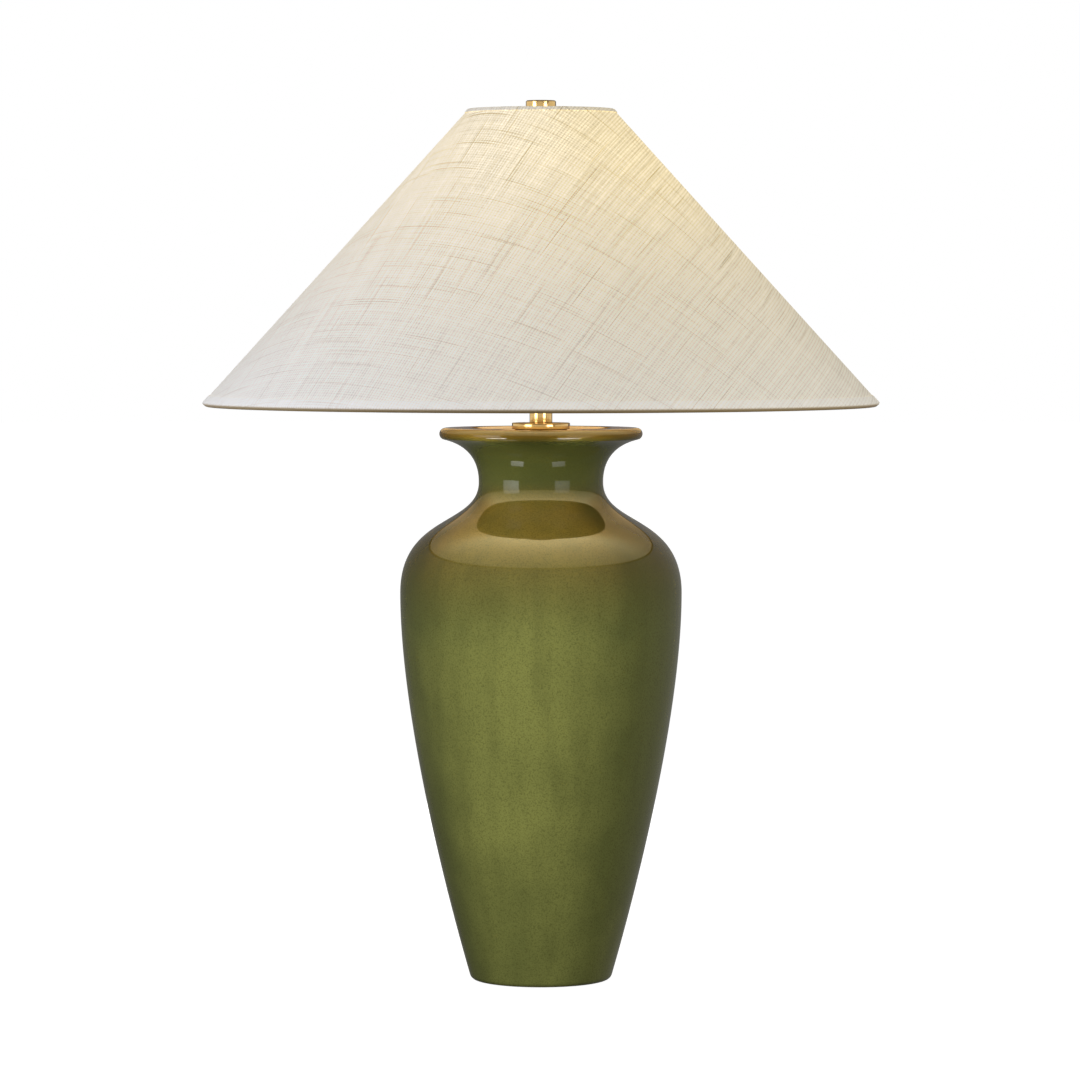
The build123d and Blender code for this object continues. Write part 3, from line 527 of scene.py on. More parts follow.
def jar_outline():
    undercut = radians(LIP_UNDERCUT)
    lip_start = (LIP_MIDDLE[0] + LIP_ROUND * sin(undercut), LIP_MIDDLE[1] - LIP_ROUND * cos(undercut))
    flare = (NECK[0], NECK[1] + FLARE_PULL * (LIP_MIDDLE[1] - NECK[1]))
    tuck = (lip_start[0] - LIP_ROUND / 2 * cos(undercut), lip_start[1] - LIP_ROUND / 2 * sin(undercut))
    lip_top = (LIP_MIDDLE[0], LIP_MIDDLE[1] + LIP_ROUND)
    half_way = (LIP_MIDDLE[0] + TOP_FLAT[0]) / 2
    # The foot's edge is a round that runs from level into the leaning side.
    tilt = atan2(FOOT_LEAN, 1)
    round_middle = (FOOT[0] + FOOT_LEAN * FOOT_ROUND - FOOT_ROUND / cos(tilt), FOOT[1] + FOOT_ROUND)
    foot_edge = arc(round_middle, FOOT_ROUND, -90, -degrees(tilt), FOOT_STEPS)
    outside = jar_side(foot_edge[-1], BELLY, NECK, SIDE_STEPS)
    throat = bezier(NECK, flare, tuck, lip_start, THROAT_STEPS)
    lip = arc(LIP_MIDDLE, LIP_ROUND, LIP_UNDERCUT - 90, 90, LIP_STEPS)[1:]
    dish = bezier(lip_top, (half_way, lip_top[1]), (half_way, TOP_FLAT[1]), TOP_FLAT, DISH_STEPS)
    inner_foot = (FOOT[0] + FOOT_LEAN * (FLOOR_TOP - FOOT[1]) - WALL, FLOOR_TOP)
    inner_belly = (BELLY[0] - WALL, BELLY[1] - WALL / 2)
    inner_neck = (NECK[0] - WALL, NECK[1] - WALL)
    inside = [inner_foot] + jar_side(inner_foot, inner_belly, inner_neck, INSIDE_STEPS)
    hollow = [(PIPE_HOLE, TOP_FLAT[1]), (PIPE_HOLE, LID_BOTTOM), (inner_neck[0], LID_BOTTOM)] + inside[::-1]
    underside = [
        (PIPE_HOLE, FLOOR_TOP), (PIPE_HOLE, FLOOR_BOTTOM), (WASHER_RECESS, FLOOR_BOTTOM),
        (WASHER_RECESS, FELT_TOP), (FELT_RECESS, FELT_TOP), (FELT_RECESS, FOOT[1]),
    ]
    return foot_edge + outside + throat + lip + dish + hollow + underside


jar = turned("glazed_jar", jar_outline(), glaze)
print("the jar's outline has", len(jar.data.vertices) // TURN_STEPS, "points")

# %% [markdown]
# The cord comes in at the back of the foot, through a rubber bush. A potter drills that hole in the
# leather-hard clay. Here a Boolean cuts it, with a cutter that has the steps of the bush and lies on the line
# of the frame's own inlet. The modifier is applied at once, so that no cutter stays in the scene.

# %% Hole for the cord
BUSH_FLANGE_THICKNESS = 0.0016
SLEEVE_HOLE, FLANGE_SEAT = 0.0056, 0.0082


def dress(piece, body, slot, *replaced):
    """Says which body a piece rides on and which solids it stands for. The slot argument is not used."""
    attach(piece, body)
    if replaced:
        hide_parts(*replaced)
    print(piece.name, "has", len(piece.data.vertices), "points")
    return piece


inlet = next(m for m in frame["record"]["mounts"] if m["name"] == "cord_inlet")
way_out = Vector(inlet["axis"])
middle = Vector(inlet["pos_m"])
reach = max(v.co.dot(way_out) for v in nodes["cord_bush"].data.vertices)
seat = middle + way_out * (reach - middle.dot(way_out) - BUSH_FLANGE_THICKNESS)
cutter = turned("hole_cutter", [
    (0, -2 * WALL), (SLEEVE_HOLE, -2 * WALL), (SLEEVE_HOLE, 0),
    (FLANGE_SEAT, 0), (FLANGE_SEAT, WALL), (0, WALL),
], glaze)
cutter.matrix_world = Matrix.Translation(seat) @ way_out.to_track_quat("Z", "Y").to_matrix().to_4x4()
cut = jar.modifiers.new("cord_hole", "BOOLEAN")
cut.operation = "DIFFERENCE"
cut.solver = "EXACT"
cut.object = cutter
bpy.context.view_layer.update()
drilled = bpy.data.meshes.new_from_object(jar.evaluated_get(bpy.context.evaluated_depsgraph_get()))
jar.modifiers.clear()
jar.data = drilled
drilled.set_sharp_from_angle(angle=radians(SHARP_EDGE))
bpy.data.objects.remove(cutter)
dress(jar, "base", "olive_glaze", "ceramic_body")

# %% [markdown]
# ## Turned brass
# Solid brass, turned on a lathe and left satin. A metal has no colour under its mirror, so the base colour is
# the reflection itself. The tool leaves rings round the axis, finer than a hair: light stretches along the
# axis into upright stripes. The shader's anisotropy with a tangent round Z gives the stripes, and a noise
# that changes only with radius and height gives the rings.

# %% Satin turned brass
TOOL_MM = 0.7  # tool marks 0.1 mm apart are drawn at 0.7 mm, the finest that shows in the picture
STAIN_MM = 9


def turned_brass():
    finish, place = new_finish("satin_turned_brass")
    height = add(finish, "SeparateXYZ", {"Vector": place}).outputs["Z"]
    section = add(finish, "CombineXYZ", {"X": radius_from_axis(finish, place), "Z": height})
    marks = add(finish, "TexNoise", {"Vector": section, "Scale": per(TOOL_MM), "Detail": 2.0})
    tone = add(finish, "MapRange", {"Value": marks, "From Min": 0.3, "From Max": 0.7})
    colour = add(finish, "Mix", {
        0: tone, MIX_A: linear("#e3b970"), MIX_B: linear("#efcc8c"),
    }, data_type="RGBA")
    stain = add(finish, "TexNoise", {"Vector": place, "Scale": per(STAIN_MM), "Detail": 2.0})
    rough = add(finish, "MapRange", {
        "Value": stain, "From Min": 0.3, "From Max": 0.7, "To Min": 0.11, "To Max": 0.15,
    })
    rings = add(finish, "Bump", {"Height": marks, "Strength": 0.10, "Distance": 0.01 * mm})
    tangent = add(finish, "Tangent", direction_type="RADIAL", axis="Z")
    shader = add(finish, "BsdfPrincipled", {
        "Base Color": colour, "Metallic": 1.0, "Roughness": rough, "Anisotropic": 0.4, "Tangent": tangent,
        "Normal": rings,
    })
    add(finish, "OutputMaterial", {"Surface": shader})
    return finish


brass = turned_brass()
print("made", brass.name)

# %% [markdown]
# Three turned pieces show: the disc on the jar, the plain tube above it and the finial on top. Their solids
# have the right sizes, so the outlines are read from the solids' boxes, and only the small rounds and bevels
# that catch the light are added. Real turned edges are never quite sharp.

# %% Disc, neck and finial
DISC_EDGE, TUBE_EDGE, EDGE_STEPS = 0.0007, 0.0003, 6
TUBE_WALL = 0.0016
FINIAL_BEVEL, FINIAL_EASE, BEVEL_HALF_TAN = 0.0009, 0.0003, 0.414
FINIAL_BORE, FINIAL_PLAY = 0.00505, 0.0005


def eased_ring(bore, radius, bottom, top, edge):
    """Outline of a ring with rounded outer edges."""
    low = arc((radius - edge, bottom + edge), edge, -90, 0, EDGE_STEPS)
    high = arc((radius - edge, top - edge), edge, 0, 90, EDGE_STEPS)
    return [(bore, bottom)] + low + high + [(bore, top)]


def bevelled_knob(bore, bore_top, radius, bottom, top):
    """Outline of a round knob with bevelled edges, bored from below."""
    slope = FINIAL_EASE * BEVEL_HALF_TAN
    low = [(radius - FINIAL_BEVEL, bottom), (radius, bottom + FINIAL_BEVEL)]
    high = [
        (radius, top - FINIAL_BEVEL - slope), (radius - slope / 4, top - FINIAL_BEVEL),
        (radius - FINIAL_BEVEL, top - slope / 4), (radius - FINIAL_BEVEL - slope, top),
    ]
    return [(0, bore_top), (bore, bore_top), (bore, bottom)] + low + high + [(0, top)]


low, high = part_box("cap_disc")
disc = turned("brass_disc", eased_ring(PIPE_HOLE, high.x, low.z, high.z, DISC_EDGE), brass)
dress(disc, "base", "satin_brass", "cap_disc")
low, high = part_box("neck_tube")
neck = turned("brass_neck", eased_ring(high.x - TUBE_WALL, high.x, low.z, high.z, TUBE_EDGE), brass)
dress(neck, "base", "satin_brass", "neck_tube")
low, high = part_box("finial_knob")
bore_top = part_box("finial_insert")[1].z + FINIAL_PLAY
finial = turned("brass_finial", bevelled_knob(FINIAL_BORE, bore_top, high.x, low.z, high.z), brass)
dress(finial, "finial_knob", "satin_brass", "finial_knob")

# %% [markdown]
# ## The lit shade
# A hard-back shade: linen glued to a white plastic cone, with a wire ring at each edge. Its solids have the
# right size, but cloth has threads and soft edges. So cover and hems are laid out anew on the cone, by how
# far a point lies up along the slant and how deep it lies under the linen's face.

# %% Shape of the cone
SHADE_BOTTOM, SHADE_TOP = (0.284, 0.4883), (0.061, 0.7343)
BULB_MIDDLE = (0, 0, sum(c.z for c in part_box("bulb_globe")) / 2)

slant = hypot(SHADE_BOTTOM[0] - SHADE_TOP[0], SHADE_TOP[1] - SHADE_BOTTOM[1])
lean = atan2(SHADE_BOTTOM[0] - SHADE_TOP[0], SHADE_TOP[1] - SHADE_BOTTOM[1])
bulb_to_cone = SHADE_TOP[0] * cos(lean) + (SHADE_TOP[1] - BULB_MIDDLE[2]) * sin(lean)


def on_slant(up, depth):
    """(radius, height) of a point that lies up along the slant and in from the linen's face."""
    radius = SHADE_BOTTOM[0] - up * sin(lean) - depth * cos(lean)
    return radius, SHADE_BOTTOM[1] + up * cos(lean) - depth * sin(lean)


def swung(radius, turn, height):
    """Points at a radius and a height, turned from the front of the lamp to its right."""
    return np.stack([radius * np.sin(turn), -radius * np.cos(turn), height + 0 * turn], -1)


print("slant", round(slant, 4), "lean", round(degrees(lean), 2), "bulb to cone", round(bulb_to_cone, 4))

# %% [markdown]
# Linen is woven from flax yarn of uneven thickness. The threads lie straight in the flat cloth, and the cone
# is cut from it in one piece, so on the shade they run as they would on a paper cone: level on the left and
# steeper and steeper towards the right. Each point of the cloth therefore carries its place in the flat cut.
# There the cloth is ruled into yarns, for each way of the weave. Every yarn has a tone that wanders along it,
# and some have slubs: thick places that show as fine dark lines against the light.

# %% Yarns and slubs
YARN_MM = 1.3               # yarns 0.6 mm apart are drawn at 1.3 mm, so that they show
TONE_MM, SLUB_MM = 40, 80   # how fast a yarn's tone wanders, and the length of its slubs
SLUB_WIDTH_MM = 0.9
SLACK, SLACK_PER_YARN = 1.2, 0.45  # how far yarns are drawn aside, in yarns, and how fast that changes
WANDER = 0.30                      # share of whole yarns in the weave's tone
OWN_START = 90.0                   # each yarn starts somewhere in this stretch of the noise


def along_yarn(finish, count, along, length_mm, detail):
    """Number of a yarn, a value of its own from 0 to 1, and a noise that wanders along it."""
    yarn = add(finish, "Math", {0: count}, operation="FLOOR")
    own = add(finish, "TexWhiteNoise", {"W": yarn}, noise_dimensions="1D")
    start = add(finish, "Math", {0: own, 1: OWN_START}, operation="MULTIPLY")
    way = add(finish, "Math", {0: along, 1: per(length_mm), 2: start}, operation="MULTIPLY_ADD")
    wander = add(finish, "TexNoise", {"W": way, "Scale": 1.0, "Detail": detail}, noise_dimensions="1D")
    return yarn, own, wander


def yarns(finish, along, side, first, ridge_share):
    """Number and tone of the yarn at each point, for one way of the weave."""
    even = add(finish, "Math", {0: side, 1: per(YARN_MM), 2: first}, operation="MULTIPLY_ADD")
    # Hand-spun yarns don't lie evenly: here the cloth is drawn closer, there wider.
    slack = add(finish, "TexNoise", {
        "W": even, "Scale": SLACK_PER_YARN, "Detail": 0.0,
    }, noise_dimensions="1D")
    count = add(finish, "Math", {0: slack, 1: SLACK, 2: even}, operation="MULTIPLY_ADD")
    yarn, _, wander = along_yarn(finish, count, along, TONE_MM, 1.0)
    # Every second yarn lies on top, which rules the cloth in fine lines.
    half_turns = add(finish, "Math", {0: count, 1: pi}, operation="MULTIPLY")
    ridge = add(finish, "Math", {0: half_turns}, operation="SINE")
    ruled = add(finish, "Math", {0: ridge, 1: ridge_share}, operation="MULTIPLY")
    return yarn, add(finish, "Math", {0: wander, 1: WANDER, 2: ruled}, operation="MULTIPLY_ADD")


def slubs(finish, along, side, first):
    """Thick places of single yarns, from 0 to 1, for one way of the weave."""
    count = add(finish, "Math", {0: side, 1: per(SLUB_WIDTH_MM), 2: first}, operation="MULTIPLY_ADD")
    _, own, swell = along_yarn(finish, count, along, SLUB_MM, 0.0)
    thick = add(finish, "MapRange", {"Value": swell, "From Min": 0.58, "From Max": 0.80})
    some = add(finish, "MapRange", {"Value": own, "From Min": 0.45, "From Max": 0.95})
    return add(finish, "Math", {0: thick, 1: some}, operation="MULTIPLY")


print("about", round(slant / (YARN_MM * mm)), "yarns lie on one slant")

# %% [markdown]
# The weave is both ways of yarns added up, with a tone of its own for each crossing of two yarns. It could be
# drawn as crossing waves, but those look printed. Yarns that are counted one by one look woven.

# %% Weave
GRAIN_TURN = radians(-28)  # how far the weft is turned from level at the front of the shade
WEFT_FIRST, WARP_FIRST = 900.0, 2900.0  # number of the yarn at the cone's tip, for each way
WEFT_RIDGE, WARP_RIDGE = 0.20, 0.36     # shares of the ruled lines in the weave's tone
GRAIN = 0.30                            # share of single crossings
TONE_REACH = 0.75


def weave(finish):
    """Tone of the yarns and strength of the slubs, both from 0 to 1."""
    cut_place = add(finish, "Attribute", attribute_name="flat_cut").outputs["Vector"]
    threads = add(finish, "VectorRotate", {"Vector": cut_place, "Angle": -GRAIN_TURN}, rotation_type="Z_AXIS")
    axes = add(finish, "SeparateXYZ", {"Vector": threads})
    ends, picks = axes.outputs["X"], axes.outputs["Y"]
    weft_yarn, weft = yarns(finish, ends, picks, WEFT_FIRST, WEFT_RIDGE)
    warp_yarn, warp = yarns(finish, picks, ends, WARP_FIRST, WARP_RIDGE)
    crossing = add(finish, "CombineXYZ", {"X": weft_yarn, "Y": warp_yarn})
    grain = add(finish, "TexWhiteNoise", {"Vector": crossing}, noise_dimensions="2D")
    both = add(finish, "Math", {0: weft, 1: warp}, operation="ADD")
    tone = add(finish, "Math", {0: grain, 1: GRAIN, 2: both}, operation="MULTIPLY_ADD")
    middle_tone = WANDER + GRAIN / 2
    yarn = add(finish, "MapRange", {
        "Value": tone, "From Min": middle_tone - TONE_REACH, "From Max": middle_tone + TONE_REACH,
    })
    slub = add(finish, "Math", {
        0: slubs(finish, ends, picks, WEFT_FIRST), 1: slubs(finish, picks, ends, WARP_FIRST),
    }, operation="MAXIMUM")
    return yarn, slub


print("the weft leans by", round(degrees(GRAIN_TURN)), "degrees in front")

# %% [markdown]
# The lamp is lit, so the cloth has two lights: the studio's on its face, and the bulb's that comes through
# it. The second could be traced through the cloth, but that needs many samples and is lost in an exported
# model. It follows a simple law instead. A point of the cone gets less light the farther it is from the bulb,
# softened because the white cone throws the light to and fro, so the cloth glows by one over that distance.
# Daylight comes in under the rim too, and shines through the lowest part.

# %% Light through the cloth
GLOW_MIDDLE = (BULB_MIDDLE[0] + 0.014, 0, BULB_MIDDLE[2])  # the bulb shines a little to the right
DENSEST, OPENEST = 0.62, 1.38        # light through the darkest and through the palest yarns
DAYLIGHT_TOP = SHADE_TOP[1] - 0.08   # no daylight gets higher than this
DAYLIGHT_POWER = 2.0


def bulb_through(finish, place):
    """The bulb's light at a point of the cloth: 1 where the cone is nearest to the bulb."""
    far = add(finish, "VectorMath", {0: place, 1: GLOW_MIDDLE}, operation="DISTANCE")
    return add(finish, "Math", {0: bulb_to_cone, 1: far}, operation="DIVIDE")


def cloth_glow(finish, place, through, yarn, slub, bulb_glow, rim_glow):
    """The light that leaves the cloth: the bulb's, warm and finely uneven, and daylight from below."""
    open_weave = add(finish, "MapRange", {"Value": yarn, "To Min": DENSEST, "To Max": OPENEST})
    bulb_light = add(finish, "Math", {0: through, 1: open_weave}, operation="MULTIPLY")
    tint = add(finish, "Mix", {
        0: slub, MIX_A: linear("#ffdd7c", bulb_glow), MIX_B: linear("#d7b85f", bulb_glow),
    }, data_type="RGBA")
    warm = add(finish, "Mix", {
        0: bulb_light, MIX_A: BLACK, MIX_B: tint,
    }, data_type="RGBA", clamp_factor=False)
    height = add(finish, "SeparateXYZ", {"Vector": place}).outputs["Z"]
    low_down = add(finish, "MapRange", {
        "Value": height, "From Min": DAYLIGHT_TOP, "From Max": SHADE_BOTTOM[1],
    })
    daylight = add(finish, "Math", {0: low_down, 1: DAYLIGHT_POWER}, operation="POWER")
    cool = add(finish, "Mix", {
        0: daylight, MIX_A: BLACK, MIX_B: linear("#ffffff", rim_glow),
    }, data_type="RGBA")
    return add(finish, "Mix", {0: 1.0, MIX_A: warm, MIX_B: cool}, data_type="RGBA", blend_type="ADD")


bulb_to_rim = hypot(SHADE_BOTTOM[0], SHADE_BOTTOM[1] - BULB_MIDDLE[2])
print("the rim gets", round(bulb_to_cone / bulb_to_rim, 2), "of the light at the nearest spot to the bulb")

# %% [markdown]
# The finish puts both together. Linen is matt with a faint sheen of flax fibres, so it is rough and hardly
# mirrors. Weave and slubs show more where the light through them is strong. The same finish is made three
# times: for the single cloth, for the hem, where it lies double, and for the top, where it lies on the wire.

# %% Slubby linen
LIT_CONTRAST, PLAIN_CONTRAST = 0.95, 0.20  # how much the weave shows by the bulb's light and without it
SLUB_RELIEF = 1.2


def slubby_linen(name, bulb_glow, rim_glow, weave_share):
    finish, place = new_finish(name)
    yarn, slub = weave(finish)
    through = bulb_through(finish, place)
    # The weave's contrast in the colour grows with the bulb's light: painted light and shade of the yarns.
    contrast = add(finish, "Math", {
        0: through, 1: LIT_CONTRAST * weave_share, 2: PLAIN_CONTRAST * weave_share,
    }, operation="MULTIPLY_ADD")
    uneven = add(finish, "Math", {0: yarn, 1: 0.5}, operation="SUBTRACT")
    shown = add(finish, "Math", {0: uneven, 1: contrast, 2: 0.5}, operation="MULTIPLY_ADD")
    plain = add(finish, "Mix", {
        0: shown, MIX_A: linear("#c8c5bc"), MIX_B: linear("#fffefb"),
    }, data_type="RGBA")
    # Painted shade: the slubs are darkened in the colour where the bulb's light comes through.
    dark = add(finish, "Math", {0: slub, 1: through}, operation="MULTIPLY")
    slubbed = add(finish, "Mix", {0: dark, MIX_A: plain, MIX_B: linear("#bfb299")}, data_type="RGBA")
    # Folded under, the hem lies on the wire: no light comes through, and the lining's warm light is painted
    # into its colour.
    folded = add(finish, "Attribute", attribute_name="folded").outputs["Fac"]
    colour = add(finish, "Mix", {0: folded, MIX_A: slubbed, MIX_B: linear("#e2bb78")}, data_type="RGBA")
    lit = cloth_glow(finish, place, through, yarn, slub, bulb_glow, rim_glow)
    glow = add(finish, "Mix", {0: folded, MIX_A: lit, MIX_B: BLACK}, data_type="RGBA")
    relief = add(finish, "Math", {0: slub, 1: SLUB_RELIEF, 2: yarn}, operation="MULTIPLY_ADD")
    bump = add(finish, "Bump", {"Height": relief, "Strength": 0.4, "Distance": 0.30 * mm})
    shader = add(finish, "BsdfPrincipled", {
        "Base Color": colour, "Roughness": 0.85, "Specular IOR Level": 0.25, "Sheen Weight": 0.15,
        "Emission Color": glow, "Emission Strength": 1.0, "Normal": bump,
    })
    add(finish, "OutputMaterial", {"Surface": shader})
    return finish


linen = slubby_linen("slubby_linen", bulb_glow=0.52, rim_glow=0.04, weave_share=1.0)
hem_linen = slubby_linen("slubby_linen_doubled", bulb_glow=0.42, rim_glow=0.12, weave_share=0.8)
wire_linen = slubby_linen("slubby_linen_on_wire", bulb_glow=0.27, rim_glow=0.0, weave_share=0.4)
print("made", linen.name, hem_linen.name, wire_linen.name)

# %% [markdown]
# ## The linen cover
# One piece of cloth, cut as a part of a ring, bent to the cone and lapped at the back by a finger's width.
# It is modelled as a thin sheet with a face and a back. Its upper layer climbs over the lower one at the lap.

# %% Linen cover
LINEN_THICKNESS = 0.0006
LAP, LAP_LIFT = 0.012, 1.2 * LINEN_THICKNESS
CLIMB_FROM, CLIMB_TO = -0.7, -0.2  # where the upper layer climbs, in laps before the turn is full
COVER_COLUMNS, COVER_ROWS = 400, 60
COVER_BOTTOM, COVER_TOP = 0.0008, slant - 0.0008
SHEET_SHARP = 60


def thin_sheet(name, face, back, finish):
    """A closed sheet between two grids of points, with its four edges walled."""
    rows, columns = face.shape[:2]
    count = rows * columns
    index = np.arange(count).reshape(rows, columns)
    under = index + count
    faces = []
    for i in range(rows - 1):
        for j in range(columns - 1):
            faces.append((index[i, j], index[i, j + 1], index[i + 1, j + 1], index[i + 1, j]))
            faces.append((under[i, j], under[i + 1, j], under[i + 1, j + 1], under[i, j + 1]))
    edge = list(index[0]) + list(index[1:, -1]) + list(index[-1, -2::-1]) + list(index[-2:0:-1, 0])
    faces += [(b, a, a + count, b + count) for a, b in zip(edge, edge[1:] + edge[:1])]
    points = np.concatenate([face.reshape(-1, 3), back.reshape(-1, 3)])
    return new_piece(name, points, faces, finish, SHEET_SHARP)


def carry_flat_cut(piece, places):
    """Stores each point's place in the flat cloth, in metres."""
    store = piece.data.attributes.new("flat_cut", "FLOAT_VECTOR", "POINT")
    store.data.foreach_set("vector", np.asarray(places, np.float32).ravel())


def linen_cover():
    up = np.linspace(COVER_BOTTOM, COVER_TOP, COVER_ROWS)[:, None]
    radius = on_slant(up, 0)[0]
    turn = -pi + np.linspace(0, 1, COVER_COLUMNS)[None, :] * (2 * pi + LAP / radius)
    climb = np.interp((turn - pi) * radius / LAP, (CLIMB_FROM, CLIMB_TO), (0, 1))
    lift = LAP_LIFT * climb**2 * (3 - 2 * climb)
    layers = []
    for depth in (0, LINEN_THICKNESS):
        out, height = on_slant(up, depth - lift)
        layers.append(swung(out, turn, height))
    piece = thin_sheet("linen_cover", layers[0], layers[1], linen)
    flat = swung(radius / sin(lean), turn * sin(lean), 0).reshape(-1, 3)
    carry_flat_cut(piece, np.concatenate([flat, flat]))
    return piece


cover = dress(linen_cover(), "shade", "linen", "shade_linen")

# %% [markdown]
# ## The hems
# Strips of the same linen, folded over each edge of the shade and its wire ring and tucked in behind. From
# outside the fold is a soft roll. On the inside the strip has to go round a smaller circle than it was cut
# for, so it lies in little puckers. A cloth simulation could find them, but folds this small need a very fine
# mesh. So the section is drawn once as a path of the cloth's middle, and a loop carries it round the shade
# with the puckers worked in.

# %% Section of a hem
TRIM, SLIP = 0.0005, 0.0002
TRIM_BACK, TUCK = 0.0052, 0.0072
OUTER_ROUND, INNER_ROUND = 0.0012, 0.0028
HEM_OUTSIDE = -SLIP - TRIM / 2


def hem_path(width):
    """Points (up from the edge, in from the face) along the middle of the folded strip."""
    outer, inner = HEM_OUTSIDE, TRIM_BACK + TRIM / 2
    first = arc((outer + OUTER_ROUND, outer + OUTER_ROUND), OUTER_ROUND, 180, 270, 8)
    second = arc((inner - INNER_ROUND, outer + INNER_ROUND), INNER_ROUND, 270, 360, 10)
    fold = [(y, x) for x, y in first + second]
    outside = [(up, outer) for up in np.linspace(width, outer + OUTER_ROUND, 7)[:-1]]
    inside = [(up, inner) for up in np.linspace(outer + INNER_ROUND, TUCK, 6)[1:]]
    return np.array(outside + fold + inside)


print("a hem is drawn with", len(hem_path(0.008)), "points across")

# %% Puckers
HEM_STEPS = 720
PUCKER_MM, PUCKER_HEIGHT, PUCKER_REACH = 11, 0.0004, 0.004
PUCKER_FLOOR = -0.4  # between two puckers the cloth lies on the lining
RAGGED, RAGGED_SPOTS = 0.0003, 181

hem_turn = np.linspace(0, 2 * pi, HEM_STEPS, endpoint=False)


def puckers(rim, seed):
    """Heights of the puckers round a hem, no two alike, and the ragged line of its hidden edge."""
    count = round(2 * pi * rim / (PUCKER_MM * mm))
    crowding = 1.5 * np.sin(hem_turn * 9 + seed)
    swell = 0.6 + 0.4 * np.sin(hem_turn * 23 + 2 * seed)
    wave = np.sin(hem_turn * count + crowding) * swell
    spots = np.random.default_rng(seed).normal(0, 1, RAGGED_SPOTS)
    ragged = np.interp(hem_turn, np.linspace(0, 2 * pi, RAGGED_SPOTS), spots, period=2 * pi)
    return np.maximum(wave, PUCKER_FLOOR) * PUCKER_HEIGHT, ragged * RAGGED


print("highest pucker", round(puckers(SHADE_BOTTOM[0], 5)[0].max() / mm, 2), "mm")

# %% Rolled hems
THIN_EDGE = 0.15  # at its cut edges the cloth thins to this share
HEM_SHARP = 70


def rolled_hem(name, at_top, width, seed):
    path = hem_path(width)
    edge, way, rim = (slant, -1, SHADE_TOP[0]) if at_top else (0, 1, SHADE_BOTTOM[0])
    along = np.concatenate([[0], np.cumsum(np.hypot(*np.diff(path, axis=0).T))])
    step = np.gradient(path, axis=0)
    normal = np.stack([-step[:, 1], step[:, 0]], 1) / np.hypot(step[:, 0], step[:, 1])[:, None]
    half = TRIM / 2 * np.minimum(1, np.minimum(along, along[-1] - along) / TRIM + THIN_EDGE)
    hidden = np.clip((along - along[-1] + PUCKER_REACH) / PUCKER_REACH, 0, 1)
    under = np.interp(path[:, 1], [HEM_OUTSIDE, 2 * TRIM], [0, 1])
    wave, ragged = puckers(rim, seed)
    flat_turn = (hem_turn - 2 * pi * (hem_turn > pi)) * sin(lean)
    points, flat, folded = [], [], []
    steps = range(len(path))
    for side, i in [(-1, i) for i in steps] + [(1, i) for i in reversed(steps)]:
        up = path[i, 0] + side * half[i] * normal[i, 0] + hidden[i] * ragged
        depth = path[i, 1] + side * half[i] * normal[i, 1] + hidden[i] * wave
        radius, height = on_slant(edge + way * up, depth)
        points.append(swung(radius, hem_turn, height))
        flat.append(swung(rim / sin(lean) - way * (width - along[i]), flat_turn, 0))
        folded.append(np.full(HEM_STEPS, under[i], np.float32))
    loops = len(points)
    faces = []
    for i in range(loops):
        a, b = i * HEM_STEPS, (i + 1) % loops * HEM_STEPS
        for j in range(HEM_STEPS):
            k = (j + 1) % HEM_STEPS
            faces.append((a + j, b + j, b + k, a + k) if at_top else (a + j, a + k, b + k, b + j))
    piece = new_piece(name, np.concatenate(points), faces, wire_linen if at_top else hem_linen, HEM_SHARP)
    carry_flat_cut(piece, np.concatenate(flat))
    store = piece.data.attributes.new("folded", "FLOAT", "POINT")
    store.data.foreach_set("value", np.concatenate(folded))
    return dress(piece, "shade", "linen", "top_trim" if at_top else "bottom_trim")


bottom_hem = rolled_hem("bottom_hem", at_top=False, width=0.008, seed=5)
top_hem = rolled_hem("top_hem", at_top=True, width=0.004, seed=8)

# %% [markdown]
# Cover and hems are cloth, cut flat. Flat, a cone is a part of a ring, and its area follows from the radii
# and the slant, with a strip for the lap.

# %% [markdown]
# ## The lining
# White styrene sheet, matt, rolled to a cone behind the linen. From below it is the brightest thing but the
# bulb, and its mirror image is the pale ring on the shoulder of the jar. Its glow is set for that image: it
# grows from the rim up to the bulb, and it is cream in front and a dimmer amber at the back.

# %% Styrene lining
LINING_GLOW = 1.66
LINING_LOW, LINING_HIGH = 0.49, 0.67  # heights between which the glow grows
GLOW_LOW, GLOW_HIGH = 0.4, 2.2
GLOW_AT_BACK, GLOW_BEHIND = 0.24, 0.40
STYRENE_GRAIN_MM = 3


